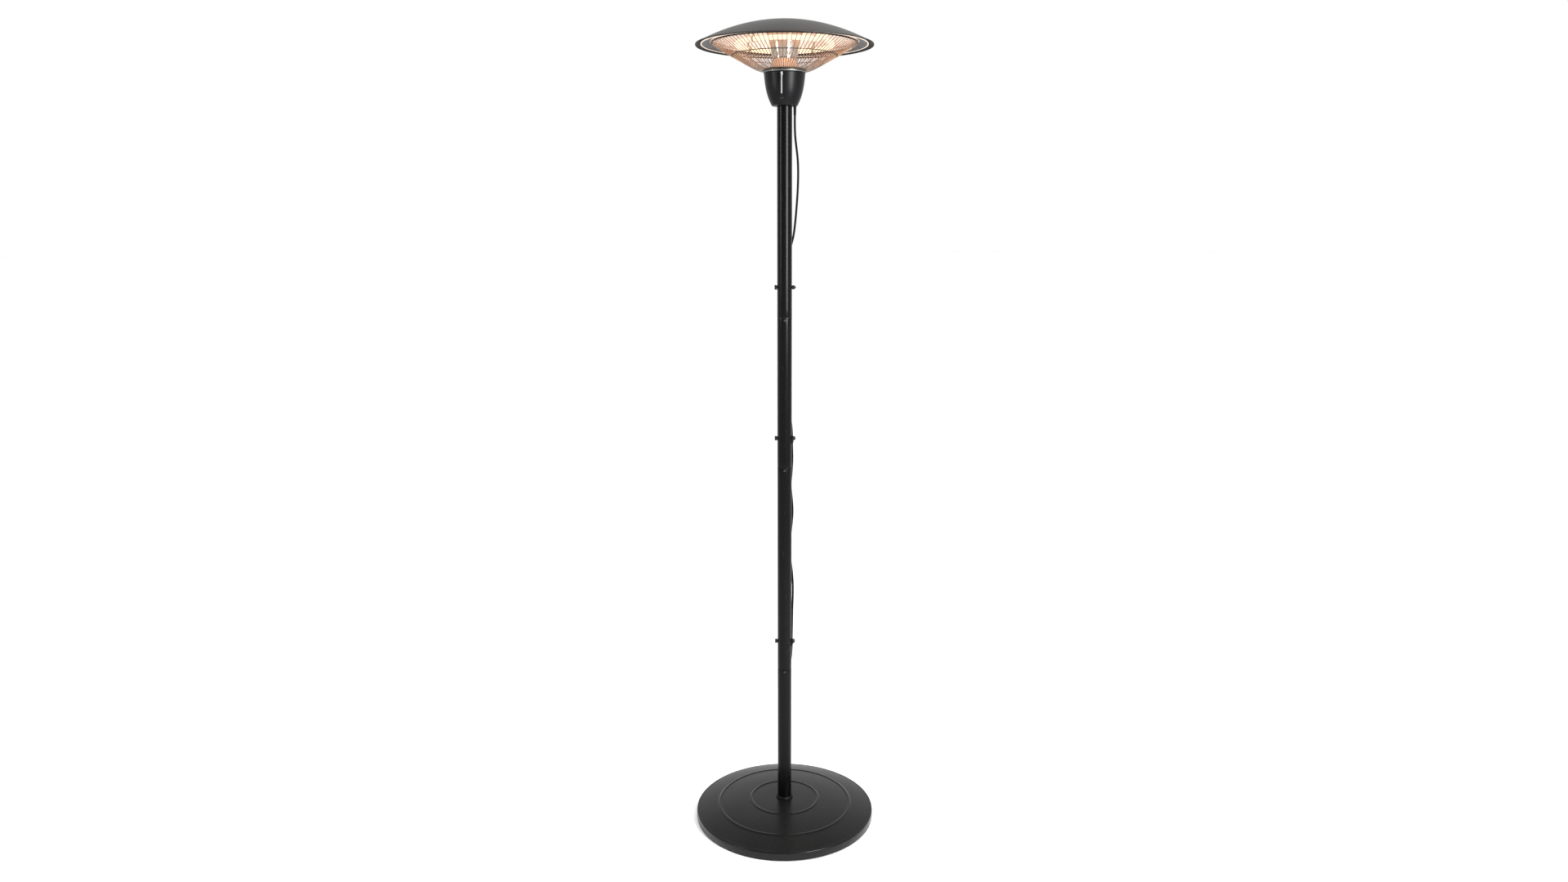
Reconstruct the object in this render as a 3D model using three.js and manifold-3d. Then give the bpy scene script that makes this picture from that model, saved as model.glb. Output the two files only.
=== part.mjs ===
// Free-standing electric patio heater: weighted round base, four-section pole, housing with a pull switch,
// and a shallow hood over a ring lamp behind a wire guard.
// Millimetres, +Z up, origin on the floor at the centre of the base; the pull cord hangs on the -Y side.
import * as THREE from "three";
import { mergeVertices } from "three/addons/utils/BufferGeometryUtils.js";
import Module from "manifold-3d";

const wasm = await Module();
wasm.setup();

// ---- Driving dimensions -------------------------------------------------------------------------------
const GAP = 0.3; // left between pieces that touch

// Base
const BASE_R = 246;
const BASE_EDGE_Z = 24; // height of the cover's outer edge
const BASE_TOP_Z = 51; // height of the cover at its centre
const BASE_DOME_POWER = 2.5;
const BASE_SKIRT_Z = 2.6; // lower edge of the cover
const COVER_WALL = 1.5;
const RING_R = [93, 182]; // pressed rings on the cover
const RING_RISE = 1.2;
const RING_HALF_WIDTH = 3;
const FOOT_HEIGHT = 2.1;
const FOOT_R = 14;
const FOOT_CIRCLE_R = 200;
const TRAY_Z = FOOT_HEIGHT + GAP;
const TRAY_WALL = 2;
const WEIGHT_R = 236;
const WEIGHT_Z = TRAY_Z + TRAY_WALL + GAP;
const BASE_BOLT_R = 5;
const BASE_BOLT_TOP_Z = 88;
const RECESS_R = 24;
const RECESS_Z = 14;

// Pole
const POLE_R = 19;
const POLE_WALL = 1.2;
const POLE_FOOT_Z = BASE_TOP_Z + GAP;
const POLE_TOP_Z = 1940;
const BOLT_Z = [514, 1079, 1474];
const SEAM_DROP = 78; // each seam lies this far below its cross bolt
const SLEEVE_R = POLE_R - POLE_WALL - GAP;
const SLEEVE_WALL = 1.2;
const SLEEVE_UP = 100;
const SLEEVE_DOWN = 80;
const RIVET_DROP = 6; // rivet below the seam
const RIVET_R = 2;
const CROSS_BOLT_R = 3;
const BOLT_HEAD_R = 6;
const BOLT_HEAD_LENGTH = 6.6;
const BOLT_END_X = 28.8;
const NUT_LENGTH = 6.6;
const COLLAR_R = 23;
const COLLAR_HEIGHT = 7.5;

// Housing under the hood
const CUP_BOTTOM_Z = 1922;
const CUP_TOP_Z = 2001;
const CUP_WALL = 2;
const FLANGE_R = 54;
const FLANGE_Z = CUP_TOP_Z + GAP;
const FLANGE_WALL = 2.6;
const SPIGOT_BOTTOM_Z = 1860;

// Hood, reflector, lamp and guard
const RIM_Z = 2066;
const HOOD_R = 220.6;
const HOOD_HEIGHT = 58;
const HOOD_WALL = 1.2;
const REFLECTOR_R = 206;
const REFLECTOR_WALL = 1;
const COLUMN_WAIST_R = 30.2;
const STANDOFF_Z = [2086, 2092.5];
const LAMP_RING_R = 118;
const LAMP_TUBE_R = 5.5;
const LAMP_Z = 2068;
const LAMP_GAP_ANGLE = -39; // degrees from +X to the middle of the lamp's gap
const LAMP_GAP_HALF = 6; // degrees from there to each lamp end
const WIRE_COUNT = 24;
const WIRE_R = 1;
const HOOP_R = 130.5;
const GUARD_RING_R = 181;
const GUARD_RING_Z = 2070.5;
const HUB_R = 56;
const HUB_Z = FLANGE_Z + FLANGE_WALL + GAP;
const HUB_HEIGHT = 5;

// Pull switch
const PULL_X = -7.5;
const PULL_Y = -57;
const PULL_TRAVEL = 8;
const PULL_CORD_R = 1.8;
const GUIDE_BOTTOM_Z = 1987.5;
const GUIDE_TOP_Z = 1997.5;
const PULL_CORD_TOP_Z = GUIDE_BOTTOM_Z + PULL_TRAVEL + 1;
const PULL_CORD_BOTTOM_Z = 1947;

// Mains cord
const CORD_R = 2.75;
const CORD_X = 25.6; // where the cord leaves the housing
const RELIEF_BOTTOM_Z = 1900;
const CLIP_X = 19.8;
const CLIP_Y = 12.5;
const CLIP_WALL = 1;
const PLUG_R = 18;
const PLUG_START_Y = 50;
const PLUG_Z = 69.4;

const CIRCLE = 2 * Math.PI;

// ---- Materials ----------------------------------------------------------------------------------------
const finish = (color, roughness, metalness) => ({ color, roughness, metalness });
const BLACK_PAINT = finish("#161716", 0.4, 0.3);
const GREY_PAINT = finish("#4d4a48", 0.42, 0.4);
const BLACK_PLASTIC = finish("#1b1b1d", 0.5, 0);
const RUBBER = finish("#141414", 0.8, 0);
const STEEL = finish("#9a9c9d", 0.35, 0.9);
const CHROME = finish("#d8d8d8", 0.12, 1);
const MIRROR = finish("#c9c4bf", 0.15, 1);
const CERAMIC = finish("#d9d3c4", 0.6, 0);
const CONCRETE = finish("#8b8a85", 0.9, 0);
const GLOW = finish("#ffdf9c", 0.3, 0);
const WHITE_CORD = finish("#b9b9b6", 0.7, 0);
const RED_LEAD = finish("#8f3427", 0.6, 0);

const heater = new THREE.Group();

function addPiece(name, geometry, { color, roughness, metalness }) {
  const material = new THREE.MeshStandardMaterial({ color, roughness, metalness });
  const mesh = new THREE.Mesh(geometry, material);
  mesh.name = name;
  heater.add(mesh);
  return mesh;
}

// ---- Shapes -------------------------------------------------------------------------------------------
// A profile of [radius, height] points turned about +Z. A profile that doesn't start and end on the axis
// is closed on itself, and its direction is set so that the faces point outwards.
function turned(profile, segments) {
  const onAxis = profile[0][0] === 0;
  const points = onAxis ? [...profile] : [...profile, profile[0]];
  const area = points.reduce((sum, [r, z], i) => {
    const [nextR, nextZ] = points[(i + 1) % points.length];
    return sum + r * nextZ - nextR * z;
  }, 0);
  if (area < 0) points.reverse();
  const outline = points.map(([r, z]) => new THREE.Vector2(r, z));
  return new THREE.LatheGeometry(outline, segments).rotateX(Math.PI / 2);
}

// A straight tube, or a rod where the inner radius is 0, between two heights.
function tube(innerR, outerR, bottomZ, topZ, segments) {
  return turned([[innerR, bottomZ], [outerR, bottomZ], [outerR, topZ], [innerR, topZ]], segments);
}

function roundSection(radius, sides) {
  const corners = Array.from({ length: sides }, (_, i) => {
    const angle = (i / sides) * CIRCLE;
    return new THREE.Vector2(radius * Math.cos(angle), radius * Math.sin(angle));
  });
  return new THREE.Shape(corners);
}

// A round bar carried along a smooth curve through the points.
function swept(points, radius, sides, steps) {
  const route = points.map(([x, y, z]) => new THREE.Vector3(x, y, z));
  const extrudePath = new THREE.CatmullRomCurve3(route, false, "centripetal");
  return new THREE.ExtrudeGeometry(roundSection(radius, sides), { steps, extrudePath });
}

// A block between two corners.
function block([x0, y0, z0], [x1, y1, z1]) {
  const geometry = new THREE.BoxGeometry(x1 - x0, y1 - y0, z1 - z0);
  return geometry.translate((x0 + x1) / 2, (y0 + y1) / 2, (z0 + z1) / 2);
}

// A rod or hexagonal bar along +X, from x0 to x1, on the line y, z.
function barAlongX(radius, x0, x1, y, z, sides) {
  const bar = new THREE.CylinderGeometry(radius, radius, x1 - x0, sides);
  return bar.rotateZ(-Math.PI / 2).translate((x0 + x1) / 2, y, z);
}

// A rod along +Y, from y0 to y1, on the line x, z.
function barAlongY(radius, y0, y1, x, z, sides) {
  const bar = new THREE.CylinderGeometry(radius, radius, y1 - y0, sides);
  return bar.translate(x, (y0 + y1) / 2, z);
}

// ---- Joining and cutting ------------------------------------------------------------------------------
function toSolid(geometry) {
  const plain = geometry.clone();
  plain.deleteAttribute("normal");
  plain.deleteAttribute("uv");
  const merged = mergeVertices(plain, 1e-4);
  const triVerts = new Uint32Array(merged.index.array);
  const vertProperties = new Float32Array(merged.attributes.position.array);
  return new wasm.Manifold(new wasm.Mesh({ numProp: 3, vertProperties, triVerts }));
}

function toGeometry(solid) {
  const mesh = solid.getMesh();
  const geometry = new THREE.BufferGeometry();
  geometry.setAttribute("position", new THREE.BufferAttribute(mesh.vertProperties, 3));
  geometry.setIndex(new THREE.BufferAttribute(mesh.triVerts, 1));
  geometry.computeVertexNormals();
  return geometry;
}

function joined(geometries) {
  return toGeometry(wasm.Manifold.union(geometries.map(toSolid)));
}

function cut(geometry, tools) {
  return toGeometry(toSolid(geometry).subtract(wasm.Manifold.union(tools.map(toSolid))));
}

// ---- Base ---------------------------------------------------------------------------------------------
// Height of the cover's outer surface: a shallow dome that falls away faster towards its edge.
function coverHeight(r) {
  return BASE_TOP_Z - (BASE_TOP_Z - BASE_EDGE_Z) * (r / BASE_R) ** BASE_DOME_POWER;
}

function baseCover() {
  const hole = BASE_BOLT_R + 0.5;
  const outer = [[hole, coverHeight(hole)]];
  for (const ring of RING_R) {
    outer.push([ring - RING_HALF_WIDTH, coverHeight(ring - RING_HALF_WIDTH)]);
    outer.push([ring, coverHeight(ring) + RING_RISE]);
    outer.push([ring + RING_HALF_WIDTH, coverHeight(ring + RING_HALF_WIDTH)]);
  }
  outer.splice(4, 0, [138, coverHeight(138)]);
  outer.push([215, coverHeight(215)]);
  outer.push([BASE_R - 4, BASE_EDGE_Z + 0.6], [BASE_R - 1.2, BASE_EDGE_Z - 1.4], [BASE_R, BASE_EDGE_Z - 5]);
  outer.push([BASE_R, BASE_SKIRT_Z], [BASE_R - COVER_WALL, BASE_SKIRT_Z]);
  const inner = [
    [BASE_R - COVER_WALL, BASE_EDGE_Z - 6],
    [BASE_R - 5, BASE_EDGE_Z - 2],
    [RING_R[1], coverHeight(RING_R[1]) - COVER_WALL],
    [RING_R[0], coverHeight(RING_R[0]) - COVER_WALL],
    [hole, coverHeight(hole) - COVER_WALL],
  ];
  return turned([...outer, ...inner], 48);
}

function baseWeight() {
  const clear = 4;
  const hole = BASE_BOLT_R + 1;
  return turned(
    [
      [hole, RECESS_Z],
      [RECESS_R, RECESS_Z],
      [RECESS_R, WEIGHT_Z],
      [WEIGHT_R, WEIGHT_Z],
      [WEIGHT_R, coverHeight(WEIGHT_R) - clear],
      [RING_R[1], coverHeight(RING_R[1]) - clear],
      [RING_R[0], coverHeight(RING_R[0]) - clear],
      [hole, coverHeight(hole) - clear],
    ],
    32,
  );
}

function addBase() {
  addPiece("base_cover", baseCover(), BLACK_PAINT);
  addPiece("base_weight", baseWeight(), CONCRETE);
  addPiece("base_tray", tube(RECESS_R, WEIGHT_R + 6, TRAY_Z, TRAY_Z + TRAY_WALL, 32), BLACK_PLASTIC);
  for (let i = 0; i < 4; i += 1) {
    const angle = ((i + 0.5) / 4) * CIRCLE;
    const foot = turned([[0, 0], [FOOT_R - 0.5, 0], [FOOT_R, 0.5], [FOOT_R, FOOT_HEIGHT], [0, FOOT_HEIGHT]], 20);
    foot.translate(FOOT_CIRCLE_R * Math.cos(angle), FOOT_CIRCLE_R * Math.sin(angle), 0);
    addPiece(`rubber_foot_${i + 1}`, foot, RUBBER);
  }
  const washerTop = RECESS_Z - GAP;
  const headTop = washerTop - 2 - GAP;
  addPiece("base_washer", tube(BASE_BOLT_R + GAP, 16, washerTop - 2, washerTop, 24), STEEL);
  const head = new THREE.CylinderGeometry(9, 9, 6, 6).rotateX(Math.PI / 2).translate(0, 0, headTop - 3);
  const shank = tube(0, BASE_BOLT_R, headTop - 1, BASE_BOLT_TOP_Z, 16);
  addPiece("base_bolt", joined([head, shank]), STEEL);
}

// ---- Pole ---------------------------------------------------------------------------------------------
const seams = BOLT_Z.map((z) => z - SEAM_DROP);

function boltHole(z) {
  return barAlongX(CROSS_BOLT_R + GAP, -30, 30, 0, z, 10);
}

function rivetHole(seamZ) {
  return barAlongY(RIVET_R + GAP, -30, 0, 0, seamZ - RIVET_DROP, 8);
}

function addPole() {
  const ends = [POLE_FOOT_Z, ...seams, POLE_TOP_Z];
  for (let i = 0; i < ends.length - 1; i += 1) {
    const top = ends[i + 1] - (i < seams.length ? GAP : 0);
    const tools = [];
    if (i > 0) tools.push(boltHole(BOLT_Z[i - 1]));
    if (i < seams.length) tools.push(rivetHole(seams[i]));
    const section = tube(POLE_R - POLE_WALL, POLE_R, ends[i], top, 24);
    addPiece(`pole_section_${i + 1}`, cut(section, tools), BLACK_PAINT);
  }
  seams.forEach((z, i) => {
    const sleeve = tube(SLEEVE_R - SLEEVE_WALL, SLEEVE_R, z - SLEEVE_DOWN, z + SLEEVE_UP, 24);
    addPiece(`coupling_sleeve_${i + 1}`, cut(sleeve, [boltHole(BOLT_Z[i]), rivetHole(z)]), STEEL);
    const head = turned([[0, 0], [3.6, 0], [2.6, 1.1], [0, 1.5]], 16);
    const shank = tube(0, RIVET_R, -5, 0.2, 12);
    const rivet = joined([head, shank]);
    rivet.rotateX(Math.PI / 2).translate(0, -POLE_R - GAP, z - RIVET_DROP);
    addPiece(`coupling_rivet_${i + 1}`, rivet, BLACK_PAINT);
  });
  const plug = tube(BASE_BOLT_R + GAP, POLE_R - POLE_WALL - GAP, POLE_FOOT_Z + GAP, POLE_FOOT_Z + 24, 24);
  addPiece("pole_foot_plug", plug, STEEL);
  const collar = turned(
    [
      [POLE_R + GAP, POLE_FOOT_Z],
      [COLLAR_R, POLE_FOOT_Z],
      [COLLAR_R, POLE_FOOT_Z + 1.6],
      [POLE_R + 1.8, POLE_FOOT_Z + COLLAR_HEIGHT - 1],
      [POLE_R + GAP, POLE_FOOT_Z + COLLAR_HEIGHT],
    ],
    24,
  );
  addPiece("foot_collar", collar, BLACK_PLASTIC);
}

// A clip that hangs under a cross bolt's nut: a tab with the bolt's hole, and a loop round the cord.
function cordClip(boltZ) {
  const loopBottom = boltZ - 14;
  const loopR = CORD_R + GAP + CLIP_WALL;
  const loop = tube(0, loopR, loopBottom, loopBottom + 8, 20).translate(CLIP_X, CLIP_Y, 0);
  const tab = block([POLE_R + 0.4, -6, loopBottom], [POLE_R + 1.6, CLIP_Y - 2, boltZ + 6.5]);
  const bore = tube(0, CORD_R + GAP, loopBottom - 1, loopBottom + 9, 16).translate(CLIP_X, CLIP_Y, 0);
  const upper = block([POLE_R, 3, loopBottom + 8], [POLE_R + 2, CLIP_Y, boltZ + 10]);
  return cut(joined([loop, tab]), [bore, boltHole(boltZ), upper]);
}

function addPoleFasteners() {
  BOLT_Z.forEach((z, i) => {
    const hasClip = i < 2;
    const headX = -POLE_R - 0.4;
    const head = barAlongX(BOLT_HEAD_R, headX - BOLT_HEAD_LENGTH, headX, 0, z, 16);
    const shank = barAlongX(CROSS_BOLT_R, headX - 1, BOLT_END_X, 0, z, 12);
    addPiece(`cross_bolt_${i + 1}`, joined([head, shank]), BLACK_PAINT);
    const nutX = POLE_R + (hasClip ? 1.9 : 0.4);
    const nut = barAlongX(BOLT_HEAD_R, nutX, nutX + NUT_LENGTH, 0, z, 6);
    const bore = barAlongX(CROSS_BOLT_R + GAP, nutX - 1, nutX + NUT_LENGTH + 1, 0, z, 12);
    addPiece(`cross_nut_${i + 1}`, cut(nut, [bore]), BLACK_PAINT);
    if (hasClip) addPiece(`cord_clip_${i + 1}`, cordClip(z), BLACK_PLASTIC);
  });
}

// ---- Housing ------------------------------------------------------------------------------------------
function cupProfile() {
  const outside = [
    [51.6, CUP_TOP_Z],
    [50.6, CUP_TOP_Z - 12],
    [48.6, CUP_TOP_Z - 28],
    [45, CUP_TOP_Z - 46],
    [39.8, CUP_TOP_Z - 62],
    [34.4, CUP_TOP_Z - 74],
    [32.6, CUP_BOTTOM_Z + 1.6],
    [30.8, CUP_BOTTOM_Z],
  ];
  const inside = outside.slice(0, -2).map(([r, z]) => [r - CUP_WALL, z]);
  inside.push([31, CUP_BOTTOM_Z + CUP_WALL + 0.5]);
  const hole = POLE_R + 0.4;
  return [
    ...outside,
    [hole, CUP_BOTTOM_Z],
    [hole, CUP_BOTTOM_Z + CUP_WALL + 0.5],
    ...inside.reverse(),
  ];
}

function addHousing() {
  const cordHole = tube(0, 4.2, CUP_BOTTOM_Z - 5, CUP_BOTTOM_Z + 8, 16).translate(CORD_X, 0, 0);
  const guideZ = (GUIDE_BOTTOM_Z + GUIDE_TOP_Z) / 2;
  const guideHole = barAlongY(2.8, PULL_Y, -40, PULL_X, guideZ, 16);
  addPiece("housing_cup", cut(turned(cupProfile(), 32), [cordHole, guideHole]), BLACK_PLASTIC);

  const plate = tube(0, FLANGE_R, FLANGE_Z, FLANGE_Z + FLANGE_WALL, 36);
  const leadHoles = [-1, 1].map((side) => {
    return tube(0, 2.5, FLANGE_Z - 2, FLANGE_Z + 8, 12).translate(side * 10, 8, 0);
  });
  const rodHole = tube(0, 4.4, FLANGE_Z - 2, FLANGE_Z + 8, 16);
  addPiece("flange_plate", cut(plate, [rodHole, ...leadHoles]), STEEL);

  const spigotTop = CUP_TOP_Z - 0.5;
  const spigot = turned(
    [
      [SLEEVE_R - 1.5, SPIGOT_BOTTOM_Z],
      [SLEEVE_R, SPIGOT_BOTTOM_Z],
      [SLEEVE_R, spigotTop - 2.5],
      [21, spigotTop - 2.5],
      [21, spigotTop],
      [SLEEVE_R - 1.5, spigotTop],
    ],
    24,
  );
  addPiece("head_spigot", spigot, STEEL);

  const relief = turned(
    [
      [0, RELIEF_BOTTOM_Z],
      [3.3, RELIEF_BOTTOM_Z],
      [3.9, CUP_BOTTOM_Z + 2],
      [3.9, CUP_BOTTOM_Z + 6],
      [0, CUP_BOTTOM_Z + 6],
    ],
    16,
  );
  addPiece("cord_relief", relief.translate(CORD_X, 0, 0), RUBBER);
}

// Parts inside the housing: switch behind the pull guide, terminals at the back, safety switches beside.
function addElectrics() {
  addPiece("pull_switch", block([PULL_X - 10, -40, 1968], [PULL_X + 10, -22, 1994]), BLACK_PLASTIC);
  addPiece("terminal_block", block([-16, 23, 1966], [16, 37, 1982]), CERAMIC);
  addPiece("tilt_switch", tube(0, 6.5, 1958, 1980, 20).translate(-31, 0, 0), BLACK_PLASTIC);
  addPiece("thermal_cutout", tube(0, 8, 1990, 1998, 20).translate(33, 8, 0), CERAMIC);
}

function addPullSwitch() {
  const barrel = tube(0, 3.4, GUIDE_BOTTOM_Z, GUIDE_TOP_Z, 20).translate(PULL_X, PULL_Y, 0);
  const neckZ = (GUIDE_BOTTOM_Z + GUIDE_TOP_Z) / 2;
  const neck = barAlongY(2.4, PULL_Y, -41, PULL_X, neckZ, 16);
  const bore = tube(0, PULL_CORD_R + GAP, GUIDE_BOTTOM_Z - 1, GUIDE_TOP_Z + 1, 16);
  bore.translate(PULL_X, PULL_Y, 0);
  addPiece("pull_guide", cut(joined([barrel, neck]), [bore]), CHROME);
  const cord = tube(0, PULL_CORD_R, PULL_CORD_BOTTOM_Z, PULL_CORD_TOP_Z, 8);
  addPiece("pull_cord", cord.translate(PULL_X, PULL_Y, 0), WHITE_CORD);
  const top = PULL_CORD_BOTTOM_Z - GAP;
  const knob = turned([[0, top], [2.6, top], [3.4, top - 5], [4.6, top - 10], [4.2, top - 13], [0, top - 13]], 16);
  addPiece("pull_knob", knob.translate(PULL_X, PULL_Y, 0), BLACK_PLASTIC);
}

// ---- Hood, reflector and lamp -------------------------------------------------------------------------
// Height of the hood's outer surface: a paraboloid from its rim to its top.
function hoodHeight(r) {
  return RIM_Z + HOOD_HEIGHT * (1 - (r / HOOD_R) ** 2);
}

function hoodShell() {
  const hole = 3.2;
  const radii = [hole, 50, 100, 145, 185, 213];
  const outer = radii.map((r) => [r, hoodHeight(r)]);
  const inner = radii.map((r) => [r, hoodHeight(r) - HOOD_WALL]).reverse();
  const rim = [[HOOD_R, RIM_Z + 0.8], [HOOD_R - 0.6, RIM_Z - 1], [HOOD_R - 3, RIM_Z - 1]];
  return turned([...outer, ...rim, ...inner], 40);
}

// Underside of the reflector dish, from its centre hole out to its rolled edge.
const REFLECTOR_PROFILE = [
  [46, 2096],
  [90, 2095],
  [130, 2088],
  [165, 2079.5],
  [REFLECTOR_R - 4, 2068.5],
];

function lampEnd(side) {
  const angle = THREE.MathUtils.degToRad(LAMP_GAP_ANGLE + side * LAMP_GAP_HALF);
  return [LAMP_RING_R * Math.cos(angle), LAMP_RING_R * Math.sin(angle)];
}

function addReflector() {
  const top = REFLECTOR_PROFILE.map(([r, z]) => [r, z + REFLECTOR_WALL]).reverse();
  const edge = [[REFLECTOR_R, 2066.6], [REFLECTOR_R + 2.5, 2067.2], [REFLECTOR_R + 1.6, 2069.4]];
  const dish = turned([...REFLECTOR_PROFILE, ...edge, ...top], 36);
  const holes = [-1, 1].map((side) => {
    const [x, y] = lampEnd(side);
    return tube(0, 9.2, 2050, 2110, 16).translate(x, y, 0);
  });
  addPiece("reflector_dish", cut(dish, holes), MIRROR);

  const outside = [
    [47, HUB_Z],
    [41, HUB_Z + 4],
    [35, HUB_Z + 13],
    [COLUMN_WAIST_R, HUB_Z + 30],
    [33.4, HUB_Z + 46],
    [37.5, HUB_Z + 66],
    [41.5, HUB_Z + 80],
    [45, HUB_Z + 90.5],
  ];
  const inside = outside.map(([r, z]) => [r - 1.2, z]).reverse();
  addPiece("reflector_column", turned([...outside, ...inside], 24), MIRROR);
}

function addLamp() {
  const points = [];
  const span = 360 - 2 * LAMP_GAP_HALF;
  const [firstX, firstY] = lampEnd(1);
  const [lastX, lastY] = lampEnd(-1);
  const bend = 5; // degrees of the ring that each end takes to turn upwards
  points.push([firstX, firstY, LAMP_Z + 20], [firstX, firstY, LAMP_Z + 15], [firstX, firstY, LAMP_Z + 10]);
  for (let i = 0; i <= 32; i += 1) {
    const turn = LAMP_GAP_ANGLE + LAMP_GAP_HALF + bend + ((span - 2 * bend) * i) / 32;
    const angle = THREE.MathUtils.degToRad(turn);
    points.push([LAMP_RING_R * Math.cos(angle), LAMP_RING_R * Math.sin(angle), LAMP_Z]);
  }
  points.push([lastX, lastY, LAMP_Z + 10], [lastX, lastY, LAMP_Z + 15], [lastX, lastY, LAMP_Z + 20]);
  addPiece("lamp_tube", swept(points, LAMP_TUBE_R, 8, 44), GLOW);

  [1, -1].forEach((side, i) => {
    const [x, y] = lampEnd(side);
    const holder = tube(LAMP_TUBE_R + 1.2, 8.6, LAMP_Z + 14, LAMP_Z + 30, 20);
    addPiece(`lamp_holder_${i + 1}`, holder.translate(x, y, 0), CERAMIC);
    const leadX = side * 10;
    const lead = [
      [x, y, LAMP_Z + 22],
      [x, y, LAMP_Z + 29],
      [x * 0.94, y * 0.94, LAMP_Z + 34],
      [x * 0.7, y * 0.7, LAMP_Z + 37],
      [leadX + x * 0.22, y * 0.3, LAMP_Z + 36],
      [leadX + x * 0.05, y * 0.1 + 5, LAMP_Z + 22],
      [leadX, 8, LAMP_Z - 5],
      [leadX, 8, FLANGE_Z + 10],
      [leadX, 8, FLANGE_Z - 1],
      [leadX * 0.8, 10, 1996],
    ];
    addPiece(`lamp_lead_${i + 1}`, swept(lead, 1.2, 6, 20), RED_LEAD);
  });

  for (let i = 0; i < 3; i += 1) {
    const angle = LAMP_GAP_ANGLE + 90 * (i + 1);
    const stem = block([-1.5, -3, LAMP_TUBE_R], [1.5, 3, 20.5]);
    const hook = block([-7.5, -3, -LAMP_TUBE_R - 2], [7.5, 3, LAMP_TUBE_R + 2]);
    const seat = barAlongY(LAMP_TUBE_R + 0.5, -10, 10, 0, 0, 16);
    const mouth = block([-3.2, -10, -12], [3.2, 10, 0]);
    const clip = cut(joined([stem, hook]), [seat, mouth]);
    clip.translate(LAMP_RING_R, 0, LAMP_Z);
    clip.rotateZ(THREE.MathUtils.degToRad(angle));
    addPiece(`lamp_clip_${i + 1}`, clip, STEEL);
    const standoff = tube(0, 4, STANDOFF_Z[0], STANDOFF_Z[1], 12).translate(150, 0, 0);
    standoff.rotateZ(THREE.MathUtils.degToRad(90 + 120 * i));
    addPiece(`hood_standoff_${i + 1}`, standoff, STEEL);
  }
}

function addHood() {
  addPiece("hood_shell", hoodShell(), GREY_PAINT);
  const rod = turned(
    [
      [0, CUP_TOP_Z - 8],
      [4, CUP_TOP_Z - 8],
      [4, RIM_Z + HOOD_HEIGHT - 2],
      [2.8, RIM_Z + HOOD_HEIGHT - 2],
      [2.8, RIM_Z + HOOD_HEIGHT - 16],
      [0, RIM_Z + HOOD_HEIGHT - 16],
    ],
    16,
  );
  addPiece("tie_rod", rod, STEEL);
  const screw = turned(
    [
      [0, RIM_Z + HOOD_HEIGHT - 14],
      [2.4, RIM_Z + HOOD_HEIGHT - 14],
      [2.4, RIM_Z + HOOD_HEIGHT + GAP],
      [8, RIM_Z + HOOD_HEIGHT + GAP],
      [6.6, RIM_Z + HOOD_HEIGHT + 2],
      [0, RIM_Z + HOOD_HEIGHT + 2.6],
    ],
    20,
  );
  addPiece("hood_screw", screw, STEEL);
}

// ---- Guard --------------------------------------------------------------------------------------------
// Radius and height along a wire: a short foot on the hub, then a straight cone up to the outer ring.
const WIRE_PATH = [
  [HUB_R - 2.5, HUB_Z + 2.2],
  [66, HUB_Z + 3.6],
  [GUARD_RING_R - 1, GUARD_RING_Z - 1.5],
];

function ring(radius, z, wireR) {
  const corners = Array.from({ length: 6 }, (_, i) => {
    const angle = (i / 6) * CIRCLE;
    return [radius + wireR * Math.cos(angle), z + wireR * Math.sin(angle)];
  });
  return turned(corners, WIRE_COUNT);
}

function addGuard() {
  const wires = Array.from({ length: WIRE_COUNT }, (_, i) => {
    const wire = swept(WIRE_PATH.map(([r, z]) => [r, 0, z]), WIRE_R * 1.2, 4, 5);
    return wire.rotateZ(((i + 0.5) / WIRE_COUNT) * CIRCLE);
  });
  const [, [innerR, innerZ], [outerR, outerZ]] = WIRE_PATH;
  const hoopZ = innerZ + ((HOOP_R - innerR) / (outerR - innerR)) * (outerZ - innerZ);
  const hub = tube(HUB_R - 5, HUB_R, HUB_Z, HUB_Z + HUB_HEIGHT, WIRE_COUNT);
  const rings = [hub, ring(HOOP_R, hoopZ, 1.4), ring(GUARD_RING_R, GUARD_RING_Z, 2)];
  addPiece("wire_guard", joined([...wires, ...rings]), STEEL);
}

// ---- Mains cord and plug ------------------------------------------------------------------------------
// The cord hangs in a bow beside the top of the pole, goes round behind it, passes two clips with slack
// between them, and comes down behind the pole to its plug, which lies on the base.
const CORD_ROUTE = [
  [CORD_X, 0, RELIEF_BOTTOM_Z - GAP],
  [25.5, 0.3, 1880],
  [26.6, 1.2, 1850],
  [33.5, 4.4, 1786],
  [33.4, 7.4, 1722],
  [25.4, 14.2, 1622],
  [21.2, 17.6, 1597],
  [14, 21, 1571],
  [7, 22.8, 1536],
  [3, 23.5, 1490],
  [2, 23.5, 1410],
  [3, 23.5, 1310],
  [6, 23, 1220],
  [12, 20.6, 1150],
  [18, 15.4, 1108],
  [CLIP_X, CLIP_Y, 1079],
  [CLIP_X, CLIP_Y, 1058],
  [20.6, 12, 1020],
  [18.4, 15, 980],
  [16.2, 17, 948],
  [21.4, 11.2, 880],
  [14.6, 18.2, 790],
  [15.4, 17.6, 745],
  [20.4, 12.6, 704],
  [22.6, 9.8, 662],
  [21.2, 11.6, 600],
  [CLIP_X, CLIP_Y, 514],
  [CLIP_X, CLIP_Y, 493],
  [16.6, 17, 452],
  [8, 22.4, 396],
  [1.5, 23.6, 320],
  [0, 22.6, 220],
  [0, 22.2, 130],
];

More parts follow.
